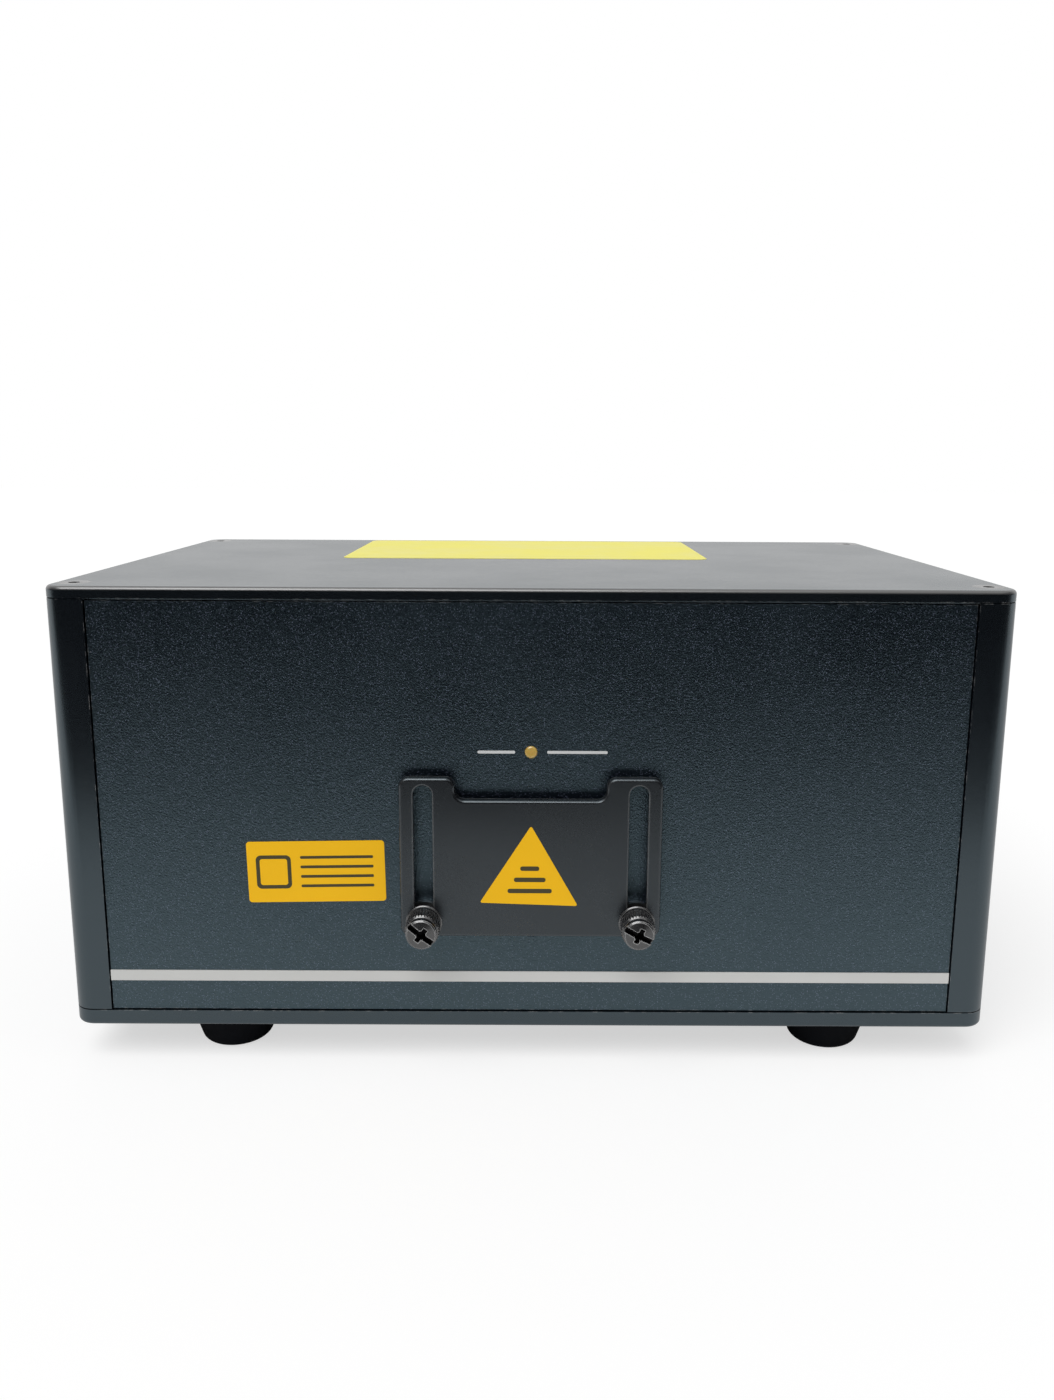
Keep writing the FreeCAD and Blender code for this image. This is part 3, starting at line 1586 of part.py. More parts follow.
def power_inlet():
    """Moulded inlet with a plug recess, a drawer for the fuse and a well for the rocker."""
    body = new_body("power_inlet", x=inlet_middle, y=rear_face, z=inlet_level)
    flange = sketch_on(body, "XZ")
    rectangle(flange, 0, 0, s.inlet_width, s.inlet_height, s.inlet_corner)
    pad(body, flange, s.inlet_flange_thickness, back=True)
    block = sketch_on(body, "XZ")
    rectangle(block, 0, 0, inlet_body_width, inlet_body_height)
    pad(body, block, s.inlet_depth)
    doc.recompute()
    bevel_edges(body, s.inlet_flange_edge, flat_at("Y", s.inlet_flange_thickness))
    face = -s.inlet_flange_thickness
    plug = sketch_on(body, "XZ", face)
    edge = s.plug_width / 2
    low = s.plug_rise - s.plug_height / 2
    high = s.plug_rise + s.plug_height / 2
    outline(
        plug,
        [
            (-edge, low),
            (edge, low),
            (edge, high - s.plug_bevel),
            (edge - s.plug_bevel, high),
            (-edge + s.plug_bevel, high),
            (-edge, high - s.plug_bevel),
        ],
    )
    pocket(body, plug, s.plug_depth, back=True)
    drawer = sketch_on(body, "XZ", face)
    rectangle(
        drawer, 0, s.fuse_rise, s.fuse_width + 2 * s.slide_gap, s.fuse_height + 2 * s.slide_gap
    )
    pocket(body, drawer, s.fuse_depth + s.slide_gap, back=True)
    well = sketch_on(body, "XZ", face)
    rectangle(
        well, 0, s.rocker_rise,
        s.rocker_width + 2 * s.rocker_swing_room, s.rocker_height + 2 * s.slide_gap,
    )
    pocket(body, well, s.rocker_well_depth, back=True)
    keep(body)


def inlet_pins():
    """Three flat contacts that stand up from the floor of the plug recess."""
    floor = rear_face + s.inlet_flange_thickness - s.plug_depth
    middle = inlet_middle
    line = inlet_level + s.plug_rise
    low = line - s.pin_offset / 2
    places = [
        (middle - s.pin_spacing / 2, low),
        (middle, line + s.pin_offset / 2),
        (middle + s.pin_spacing / 2, low),
    ]
    pieces = []
    for number, (x, z) in enumerate(places, 1):
        pin = new_body(f"inlet_pin_{number}", x=x, y=floor, z=z)
        sketch = sketch_on(pin, "XZ")
        rectangle(sketch, 0, 0, s.pin_width, s.pin_height)
        pad(pin, sketch, s.pin_length, back=True)
        pieces.append(pin)
    group("inlet_pins", pieces)


def fuse_drawer():
    body = new_body(
        "fuse_drawer", x=inlet_middle, y=rear_face + s.inlet_flange_thickness, z=inlet_level + s.fuse_rise
    )
    sketch = sketch_on(body, "XZ")
    rectangle(sketch, 0, 0, s.fuse_width, s.fuse_height)
    pad(body, sketch, s.fuse_depth)
    doc.recompute()
    grip = sketch_on(body, "XZ")
    rectangle(grip, 0, -s.fuse_height / 2, s.fuse_notch_width, 2 * s.fuse_notch)
    pocket(body, grip, s.fuse_notch, back=True)
    keep(body)


def power_rocker():
    """Rocker with a shallow valley on its face, tilted to its off side."""
    pivot = rear_face + s.inlet_flange_thickness - s.rocker_pivot_depth
    body = new_body(
        "power_rocker", x=inlet_middle, y=pivot, z=inlet_level + s.rocker_rise - s.rocker_height / 2,
        axis=Z_AXIS, turn=s.rocker_rest_turn,
    )
    sketch = sketch_on(body, "XY")
    edge = s.rocker_width / 2
    outline(
        sketch,
        [
            (-edge, -s.rocker_thickness / 2),
            (edge, -s.rocker_thickness / 2),
            (edge, s.rocker_thickness),
            (0, s.rocker_thickness / 2),
            (-edge, s.rocker_thickness),
        ],
    )
    pad(body, sketch, s.rocker_height)
    keep(body)


def key_switch():
    """Round lock with a bevelled bezel; its cylinder turns in the barrel."""
    bore = s.key_cylinder_radius + s.fit_clearance
    floor = s.key_bezel_length - s.key_cylinder_length
    keep(
        turned(
            "key_switch_body",
            [
                (0, -s.key_barrel_length),
                (s.key_barrel_radius, -s.key_barrel_length),
                (s.key_barrel_radius, 0),
                (s.key_bezel_radius, 0),
                (s.key_bezel_radius, s.key_bezel_length - s.key_bezel_edge),
                (s.key_bezel_radius - s.key_bezel_edge, s.key_bezel_length),
                (bore, s.key_bezel_length),
                (bore, floor),
                (0, floor),
            ],
            x=inlet_middle, y=rear_face, z=key_level, **TO_REAR,
        )
    )
    face = s.key_bezel_length + s.key_cylinder_proud
    cylinder = turned(
        "key_cylinder",
        [
            (0, floor + s.fit_clearance),
            (s.key_cylinder_radius, floor + s.fit_clearance),
            (s.key_cylinder_radius, face),
            (0, face),
        ],
        x=inlet_middle, y=rear_face, z=key_level, **TO_REAR,
    )
    keyway = sketch_on(cylinder, "XY", face)
    rectangle(keyway, 0, 0, s.keyway_width, s.keyway_height)
    pocket(cylinder, keyway, s.keyway_depth)
    keep(cylinder)


def shell_outline(sketch, inset):
    """Outline of the signal socket's shell, wider at its top, drawn in by an inset."""
    top = s.signal_shell_width / 2 - inset
    low = top - s.signal_shell_slant
    half = s.signal_shell_height / 2 - inset
    outline(sketch, [(-low, -half), (low, -half), (top, half), (-top, half)])


def signal_socket():
    """Flanged shell with two rows of contacts, and a hexagon screw post at each end."""
    body = new_body("signal_socket", x=signal_middle, y=rear_face, z=signal_level)
    flange = sketch_on(body, "XZ")
    rectangle(flange, 0, 0, s.signal_flange_width, s.signal_flange_height, s.signal_flange_corner)
    pad(body, flange, s.signal_flange_thickness, back=True)
    block = sketch_on(body, "XZ")
    rectangle(block, 0, 0, s.signal_block_width, s.signal_block_height)
    pad(body, block, s.signal_block_length)
    shell = sketch_on(body, "XZ", -s.signal_flange_thickness)
    shell_outline(shell, size_of(0))
    pad(body, shell, s.signal_shell_length, back=True)
    doc.recompute()
    mouth = s.signal_flange_thickness + s.signal_shell_length
    cup = sketch_on(body, "XZ", -mouth)
    shell_outline(cup, s.signal_shell_wall)
    pocket(body, cup, s.signal_cup_depth, back=True)
    keep(body)

    contacts = []
    count = int(s.contact_count.number)
    for line, number in ((1, count), (-1, count - 1)):
        for step in range(number):
            contact = doc.addObject("Part::Cylinder", f"signal_contact_{len(contacts) + 1}")
            bind(contact, "Radius", s.contact_radius)
            bind(contact, "Height", s.contact_length)
            place(
                contact,
                signal_middle + (step - (number - 1) / 2) * s.contact_pitch,
                rear_face + mouth - s.signal_cup_depth,
                signal_level + line * s.contact_row_pitch / 2,
                X_AXIS, -90,
            )
            contacts.append(contact)
    group("signal_contacts", contacts)

    posts = []
    for name, side in SIDES:
        post = new_body(
            f"signal_screw_post_{name}", x=signal_middle + side * s.jack_spacing / 2,
            y=rear_face + s.signal_flange_thickness, z=signal_level, **TO_REAR,
        )
        sketch = sketch_on(post, "XY")
        hexagon(sketch, s.jack_radius)
        circle(sketch, 0, 0, s.jack_bore_radius)
        pad(post, sketch, s.jack_length)
        posts.append(post)
    group("signal_screw_posts", posts)


def dmx_pin_places():
    """Three places on a circle, one at the foot and two at the shoulders."""
    shoulder = s.dmx_pin_circle * HALF_ROOT_THREE
    return [
        (0, -s.dmx_pin_circle),
        (-shoulder, s.dmx_pin_circle / 2),
        (shoulder, s.dmx_pin_circle / 2),
    ]


def dmx_shell(label, middle):
    """Flange with a sleeve behind it, closed at its inner end."""
    body = new_body(label, x=middle, y=rear_face, z=dmx_level)
    flange = sketch_on(body, "XZ")
    rectangle(flange, 0, 0, s.dmx_flange_width, s.dmx_flange_height, s.dmx_flange_corner)
    for x, z in dmx_screw_offsets:
        circle(flange, x, z, rear_hole_radius)
    pad(body, flange, s.dmx_flange_thickness, back=True)
    sleeve = sketch_on(body, "XZ")
    circle(sleeve, 0, 0, s.dmx_sleeve_radius)
    pad(body, sleeve, s.dmx_sleeve_length)
    doc.recompute()
    cup = sketch_on(body, "XZ", -s.dmx_flange_thickness)
    circle(cup, 0, 0, s.dmx_cup_radius)
    pocket(body, cup, s.dmx_cup_depth, back=True)
    return body


def dmx_sockets():
    keep(dmx_shell("dmx_input_socket", dmx_in_middle))
    floor = rear_face + s.dmx_flange_thickness - s.dmx_cup_depth
    pins = []
    for number, (x, z) in enumerate(dmx_pin_places(), 1):
        profile = [
            (0, 0),
            (s.dmx_pin_radius, 0),
            (s.dmx_pin_radius, s.dmx_pin_length - s.dmx_pin_radius / 2),
            (s.dmx_pin_radius / 2, s.dmx_pin_length),
            (0, s.dmx_pin_length),
        ]
        pins.append(
            turned(f"dmx_pin_{number}", profile, x=dmx_in_middle + x, y=floor, z=dmx_level + z, **TO_REAR)
        )
    group("dmx_input_pins", pins)

    shell = dmx_shell("dmx_output_shell", dmx_out_middle)
    latch_slot = sketch_on(shell, "XZ", -s.dmx_flange_thickness)
    rectangle(
        latch_slot, 0, s.latch_rise, s.latch_width + 2 * s.slide_gap, s.latch_height + 2 * s.slide_gap
    )
    pocket(shell, latch_slot, s.dmx_flange_thickness, back=True)
    core = new_body("dmx_output_core", x=dmx_out_middle, y=floor, z=dmx_level)
    plug = sketch_on(core, "XZ")
    circle(plug, 0, 0, s.dmx_core_radius)
    pad(core, plug, s.dmx_cup_depth, back=True)
    doc.recompute()
    holes = sketch_on(core, "XZ", -s.dmx_cup_depth)
    for x, z in dmx_pin_places():
        circle(holes, x, z, s.dmx_pin_radius + s.fit_clearance)
    pocket(core, holes, s.dmx_hole_depth, back=True)
    group("dmx_output_socket", [shell, core])

    latch_inner = s.latch_travel + s.slide_gap
    latch = new_body(
        "dmx_output_latch", x=dmx_out_middle, y=rear_face + latch_inner, z=dmx_level + s.latch_rise
    )
    sketch = sketch_on(latch, "XZ")
    rectangle(sketch, 0, 0, s.latch_width, s.latch_height)
    pad(latch, sketch, s.dmx_flange_thickness + s.latch_proud - latch_inner, back=True)
    doc.recompute()
    round_edges(latch, s.latch_edge, flat_at("Y", s.dmx_flange_thickness + s.latch_proud - latch_inner))
    keep(latch)


def interlock_socket():
    mouth = rear_face + s.interlock_proud
    body = new_body("interlock_socket", x=interlock_middle, y=mouth, z=low_row_level)
    block = sketch_on(body, "XZ")
    rectangle(block, 0, 0, s.interlock_width, s.interlock_height)
    pad(body, block, s.interlock_length)
    doc.recompute()
    cup = sketch_on(body, "XZ")
    rectangle(cup, 0, 0, s.interlock_cup_width, s.interlock_cup_height)
    pocket(body, cup, s.interlock_cup_depth, back=True)
    key = sketch_on(body, "XZ")
    key_drop = s.interlock_cup_height / 2 + s.interlock_key_height / 2
    rectangle(key, 0, -key_drop, s.interlock_key_width, s.interlock_key_height)
    pocket(body, key, s.interlock_cup_depth, back=True)
    keep(body)


def safety_tab():
    """Folded tab with a hole for a safety wire."""
    body = new_body("safety_tab", x=safety_middle, y=rear_face, z=low_row_level)
    foot = sketch_on(body, "XZ")
    rectangle(foot, 0, 0, s.safety_plate_width, s.safety_plate_height, s.safety_plate_thickness)
    for side in (-1, 1):
        circle(foot, side * safety_screw_offset, 0, rear_hole_radius)
    pad(body, foot, s.safety_plate_thickness, back=True)
    tab = sketch_on(body, "YZ", -s.safety_tab_thickness / 2)
    half = s.safety_plate_height / 2
    outline(
        tab,
        [
            (0, -half),
            (s.safety_tab_reach, -half, half - s.safety_plate_thickness),
            (s.safety_tab_reach, half, half - s.safety_plate_thickness),
            (0, half),
        ],
    )
    circle(tab, s.safety_hole_reach, 0, s.safety_hole_radius)
    pad(body, tab, s.safety_tab_thickness)
    keep(body)


def rear():
    rear_panel()
    rear_screws()
    fan_frame()
    fan_rotor()
    fan_guard()
    fan_screws()
    power_inlet()
    inlet_pins()
    fuse_drawer()
    power_rocker()
    key_switch()
    signal_socket()
    dmx_sockets()
    interlock_socket()
    safety_tab()


def write_parts():
    """Check every object, then write each piece to its own file."""
    doc.recompute()
    for item in doc.Objects:
        if "Invalid" in item.State or "Error" in item.State:
            raise ValueError(f"{item.Label} failed: {item.State}")
    for item in subparts:
        if item.Shape.isNull() or not item.Shape.isValid():
            raise ValueError(f"{item.Label} has no valid shape")
    os.makedirs("parts", exist_ok=True)
    for item in subparts:
        item.Shape.exportStep(f"parts/{item.Label}.step")


housing()
front()
scanner()
laser_engine()
electronics()
rear()
write_parts()
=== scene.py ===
import json
import math

import bmesh
import bpy
from mathutils import Matrix, Vector


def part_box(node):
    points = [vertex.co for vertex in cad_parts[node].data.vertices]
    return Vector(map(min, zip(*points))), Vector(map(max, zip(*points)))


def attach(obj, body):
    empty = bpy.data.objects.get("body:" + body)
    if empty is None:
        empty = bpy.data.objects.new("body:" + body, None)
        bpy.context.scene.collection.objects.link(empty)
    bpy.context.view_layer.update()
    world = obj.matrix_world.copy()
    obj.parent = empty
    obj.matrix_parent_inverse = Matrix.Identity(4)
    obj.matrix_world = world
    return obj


# Looks of the show laser projector: camera, light, finishes, labels and printed marks.
# The scene is in metres, in the frame of the CAD model. MM turns millimetres into metres.

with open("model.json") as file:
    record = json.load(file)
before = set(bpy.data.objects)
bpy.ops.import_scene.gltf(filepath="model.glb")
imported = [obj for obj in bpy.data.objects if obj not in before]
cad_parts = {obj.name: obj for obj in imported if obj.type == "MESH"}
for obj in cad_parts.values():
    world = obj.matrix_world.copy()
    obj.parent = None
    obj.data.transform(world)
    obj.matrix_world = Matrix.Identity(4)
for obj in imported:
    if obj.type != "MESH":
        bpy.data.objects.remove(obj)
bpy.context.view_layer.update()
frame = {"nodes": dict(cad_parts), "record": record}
nodes = frame["nodes"]
scene = bpy.context.scene
scene.view_settings.view_transform = "Standard"
MM = 0.001


def connect(tree, socket, value):
    """Give a socket a plain value, or link it to another node's output."""
    if isinstance(value, bpy.types.NodeSocket):
        tree.links.new(value, socket)
    else:
        socket.default_value = value


def add(tree, kind, settings=None, **inputs):
    """A shader node with its settings and inputs. In an input's name, _ stands for a space."""
    made = tree.nodes.new(kind)
    for name, value in (settings or {}).items():
        setattr(made, name, value)
    for name, value in inputs.items():
        connect(tree, made.inputs[name.replace("_", " ")], value)
    return made


def rgba(colour, share=1.0):
    """A colour made lighter or darker by a share, with full opacity."""
    return tuple(min(1.0, part * share) for part in colour) + (1.0,)


def grey(level):
    """A neutral colour of one level, with full opacity."""
    return (level, level, level, 1.0)


WHITE = grey(1.0)


# Camera: it stands in front of the part, a little above its lid, and looks down at it
IMAGE_HEIGHT = 1400
FOCAL_PIXELS = 1120
AXIS_RIGHT_PIXELS = 12.5
AXIS_DOWN_PIXELS = -30
SENSOR_WIDTH = 36
camera_place = Vector((1.15, -324.2, 148.7)) * MM
camera_yaw = 0.0028
camera_pitch = -0.1927
camera_roll = 0.0054


def make_camera():
    data = bpy.data.cameras.new("camera")
    data.sensor_width = SENSOR_WIDTH
    data.lens = FOCAL_PIXELS * SENSOR_WIDTH / IMAGE_HEIGHT
    data.shift_x = -AXIS_RIGHT_PIXELS / IMAGE_HEIGHT
    data.shift_y = AXIS_DOWN_PIXELS / IMAGE_HEIGHT
    data.clip_start = 0.01
    camera = bpy.data.objects.new("camera", data)
    scene.collection.objects.link(camera)
    camera.matrix_world = (
        Matrix.Translation(camera_place)
        @ Matrix.Rotation(-camera_yaw, 4, "Z")
        @ Matrix.Rotation(math.pi / 2 + camera_pitch, 4, "X")
        @ Matrix.Rotation(camera_roll, 4, "Z")
    )
    scene.camera = camera


# Light: a soft lamp from above the front, and a room that is white behind and above and dim elsewhere.
# Each fade holds the Y or Z of the two directions between which the room turns from dim to white.
SKY_LIGHT = 0.42
DIM_ROOM = 0.012
WHITE_ROOM = 0.9
WHITE_CEILING = 1.0
REAR_FADE = (-0.1, 0.35)
CEILING_FADE = (0.55, 0.85)
SUN_STRENGTH = 1.8
SUN_SPREAD = math.radians(45)
SUN_FROM = Vector((-0.3, -0.6, 1.0))
FLOOR_COLOUR = 0.92
FLOOR_COLOUR_SEEN = 1.16
FLOOR_GLOW_SEEN = 0.6
FLOOR_FRONT = -0.26
FLOOR_REAR = 4.0
FLOOR_HALF_WIDTH = 4.0


def larger(tree, first, second):
    made = add(tree, "ShaderNodeMath", {"operation": "MAXIMUM"})
    connect(tree, made.inputs[0], first)
    connect(tree, made.inputs[1], second)
    return made.outputs[0]


def make_world():
    world = bpy.data.worlds.new("room")
    scene.world = world
    world.use_nodes = True
    tree = world.node_tree
    rays = add(tree, "ShaderNodeLightPath").outputs
    way = add(tree, "ShaderNodeTexCoord").outputs["Generated"]
    direction = add(tree, "ShaderNodeSeparateXYZ", Vector=way)
    behind = add(
        tree, "ShaderNodeMapRange", Value=direction.outputs["Y"],
        From_Min=REAR_FADE[0], From_Max=REAR_FADE[1], To_Min=DIM_ROOM, To_Max=WHITE_ROOM,
    ).outputs["Result"]
    overhead = add(
        tree, "ShaderNodeMapRange", Value=direction.outputs["Z"],
        From_Min=CEILING_FADE[0], From_Max=CEILING_FADE[1], To_Min=DIM_ROOM, To_Max=WHITE_CEILING,
    ).outputs["Result"]
    bright = larger(tree, behind, overhead)
    mirrored = larger(tree, rays["Is Glossy Ray"], rays["Is Transmission Ray"])
    sky = grey(SKY_LIGHT)
    room = add(tree, "ShaderNodeMixRGB", Fac=mirrored, Color1=sky, Color2=bright).outputs["Color"]
    seen = add(tree, "ShaderNodeMixRGB", Fac=rays["Is Camera Ray"], Color1=room, Color2=WHITE)
    tree.links.new(seen.outputs["Color"], tree.nodes["Background"].inputs["Color"])


def make_sun():
    data = bpy.data.lights.new("soft_lamp", "SUN")
    data.energy = SUN_STRENGTH
    data.angle = SUN_SPREAD
    lamp = bpy.data.objects.new("soft_lamp", data)
    scene.collection.objects.link(lamp)
    lamp.rotation_mode = "QUATERNION"
    lamp.rotation_quaternion = SUN_FROM.to_track_quat("Z", "Y")


def make_floor():
    mesh = bpy.data.meshes.new("floor")
    corners = [
        (-FLOOR_HALF_WIDTH, FLOOR_FRONT, 0),
        (FLOOR_HALF_WIDTH, FLOOR_FRONT, 0),
        (FLOOR_HALF_WIDTH, FLOOR_REAR, 0),
        (-FLOOR_HALF_WIDTH, FLOOR_REAR, 0),
    ]
    mesh.from_pydata(corners, [], [(0, 1, 2, 3)])
    floor = bpy.data.objects.new("floor", mesh)
    scene.collection.objects.link(floor)
    material = bpy.data.materials.new("floor")
    material.use_nodes = True
    tree = material.node_tree
    seen = add(tree, "ShaderNodeLightPath").outputs["Is Camera Ray"]
    colour = add(
        tree, "ShaderNodeMixRGB", Fac=seen, Color1=grey(FLOOR_COLOUR), Color2=grey(FLOOR_COLOUR_SEEN),
    ).outputs["Color"]
    lit = add(tree, "ShaderNodeBsdfDiffuse", Color=colour).outputs["BSDF"]
    white = add(tree, "ShaderNodeEmission", Color=WHITE).outputs["Emission"]
    share = add(tree, "ShaderNodeMath", {"operation": "MULTIPLY"})
    tree.links.new(seen, share.inputs[0])
    share.inputs[1].default_value = FLOOR_GLOW_SEEN
    blend = add(tree, "ShaderNodeMixShader", Fac=share.outputs[0])
    tree.links.new(lit, blend.inputs[1])
    tree.links.new(white, blend.inputs[2])
    tree.links.new(blend.outputs["Shader"], tree.nodes["Material Output"].inputs["Surface"])
    mesh.materials.append(material)


# Patterns: where a cloudy one goes from 0 to 1, and how specks, rubbed edges and the rims with a painted
# highlight fade
CLOUD_FADE = (0.3, 0.7)
SPECK_CORE = 0.6
SPECK_CHANCE = 0.9
EDGE_SAMPLES = 4
EDGE_FADE = (0.995, 0.9)
CHIP_SIZE = 1.5
CHIP_FADE = (0.5, 0.65)
RIM_START = (0.1, 0.3)
RIM_END = (0.99, 0.95)


class Finish:
    """A procedural material over a piece's own coordinates, which stay with the piece when it moves."""

    def __init__(self, name):
        self.material = bpy.data.materials.new(name)
        self.material.use_nodes = True
        self.tree = self.material.node_tree
        self.shader = self.tree.nodes["Principled BSDF"]
        self.place = add(self.tree, "ShaderNodeTexCoord").outputs["Object"]

    def noise(self, size, detail=2.0, stretch=(1, 1, 1)):
        """Cloudy pattern of a size in millimetres, from 0 to 1, drawn out where stretch is small."""
        place = add(self.tree, "ShaderNodeMapping", Vector=self.place, Scale=stretch).outputs["Vector"]
        made = add(self.tree, "ShaderNodeTexNoise", Vector=place, Scale=1 / (size * MM), Detail=detail)
        return made.outputs["Fac"]

    def between(self, value, low, high, at_low=0.0, at_high=1.0):
        made = add(
            self.tree, "ShaderNodeMapRange", Value=value,
            From_Min=low, From_Max=high, To_Min=at_low, To_Max=at_high,
        )
        return made.outputs["Result"]

    def times(self, first, second):
        made = add(self.tree, "ShaderNodeMath", {"operation": "MULTIPLY"})
        connect(self.tree, made.inputs[0], first)
        connect(self.tree, made.inputs[1], second)
        return made.outputs[0]

    def specks(self, pitch, radius, share):
        """1 in small round specks: one in a share of the cells of a pitch, in millimetres."""
        cells = add(self.tree, "ShaderNodeTexVoronoi", Vector=self.place, Scale=1 / (pitch * MM))
        near = self.between(cells.outputs["Distance"], radius / pitch, SPECK_CORE * radius / pitch)
        chance = add(self.tree, "ShaderNodeSeparateColor", Color=cells.outputs["Color"]).outputs["Red"]
        return self.times(near, self.between(chance, share, SPECK_CHANCE * share))

    def edges(self, reach, least):
        """1 on a sharp edge, fading to 0 at a reach in millimetres; a pattern weakens it down to least."""
        soft = add(self.tree, "ShaderNodeBevel", {"samples": EDGE_SAMPLES}, Radius=reach * MM)
        same = add(self.tree, "ShaderNodeVectorMath", {"operation": "DOT_PRODUCT"})
        connect(self.tree, same.inputs[0], soft.outputs["Normal"])
        connect(self.tree, same.inputs[1], add(self.tree, "ShaderNodeNewGeometry").outputs["Normal"])
        patchy = self.between(self.noise(CHIP_SIZE, 3), *CHIP_FADE, least, 1.0)
        return self.times(self.between(same.outputs["Value"], *EDGE_FADE), patchy)

    def highlight_rims(self):
        """1 on the rounding between an upright face and one that looks up, where a highlight is painted."""
        normal = add(self.tree, "ShaderNodeNewGeometry").outputs["Normal"]
        upward = add(self.tree, "ShaderNodeSeparateXYZ", Vector=normal).outputs["Z"]
        return self.times(self.between(upward, *RIM_START), self.between(upward, *RIM_END))

    def mix(self, factor, first, second):
        made = add(self.tree, "ShaderNodeMixRGB", Fac=factor, Color1=first, Color2=second)
        return made.outputs["Color"]

    def relief(self, height, depth):
        """Surface relief; depth is in millimetres."""
        made = add(self.tree, "ShaderNodeBump", Height=height, Distance=depth * MM)
        return made.outputs["Normal"]

    def use(self, **inputs):
        for name, value in inputs.items():
            connect(self.tree, self.shader.inputs[name.replace("_", " ")], value)


PATCH_SIZE = 28
GLINT_PITCH = 0.34
GLINT_RADIUS = 0.12
GLINT_COLOUR = (0.105, 0.117, 0.17, 1.0)
DUST_PITCH = 6
DUST_RADIUS = 0.14
DUST_COLOUR = (0.30, 0.31, 0.32, 1.0)
RUBBED_BLACK = grey(0.2)
# Pale grey of the painted highlight on the rims that look up
RIM_HIGHLIGHT_GREY = grey(0.06)


def coating(
    name, colour, rough, grain, depth,
    spread=0.05, uneven=0.15, stretch=(1, 1, 1), glint=0.0, dust=0.0, worn=None, rim_from=None, **fixed,
):
    """A finish with a fine grain and cloudy changes of tone and gloss.

    glint and dust are the shares of its small cells that hold a pale speck, which is the coat's grain and a
    painted glint, or a speck of dust.
    worn is how far its edges are rubbed, in millimetres, and the least share of it anywhere along them.
    rim_from is the tint of its gloss, which turns neutral on the rims that look up; these rims also get a
    painted highlight of pale grey.
    """
    finish = Finish(name)
    cloud = finish.between(finish.noise(PATCH_SIZE, 3), *CLOUD_FADE)
    tone = finish.mix(cloud, rgba(colour, 1 - uneven), rgba(colour, 1 + uneven))
    # Painted glints: pale specks that stand for the coat's grain and its sparkle.
    if glint:
        tone = finish.mix(finish.specks(GLINT_PITCH, GLINT_RADIUS, glint), tone, GLINT_COLOUR)
    if dust:
        tone = finish.mix(finish.specks(DUST_PITCH, DUST_RADIUS, dust), tone, DUST_COLOUR)
    if worn:
        tone = finish.mix(finish.edges(*worn), tone, RUBBED_BLACK)
    # Painted highlight: the rims that look up get a pale grey and an untinted gloss.
    if rim_from:
        highlight_rims = finish.highlight_rims()
        tone = finish.mix(highlight_rims, tone, RIM_HIGHLIGHT_GREY)
        finish.use(Specular_Tint=finish.mix(highlight_rims, rim_from, WHITE))
    fine = finish.noise(grain, 2, stretch)
    gloss = finish.mix(0.5, cloud, finish.noise(4 * grain, 2, stretch))
    finish.use(
        Base_Color=tone,
        Roughness=finish.between(gloss, *CLOUD_FADE, rough - spread, rough + spread),
        Normal=finish.relief(fine, depth),
        **fixed,
    )
    return finish.material


# Thumbscrews: radii from their axis and depths behind the top of their cap, in millimetres
SCREW_BLACK = (0.012, 0.012, 0.013)
WORN_STEEL_AND_HIGHLIGHT = grey(0.27)
CAP_WEAR_AND_HIGHLIGHT = grey(0.6)
SLOT_SHADE_BLACK = grey(0.001)
SCREW_PATCH_SIZE = 3
KNURL_EDGE_REACH = 0.12
CAP_EDGE_REACH = 0.3
CAP_EDGE_DEPTH = (1.2, 0.9)
SCREW_LEAST_WEAR_AND_HIGHLIGHT = 0.7
SLOT_SHADE_RADIUS = (3.5, 3.4)
SLOT_SHADE_DEPTH = (0.7, 0.95)


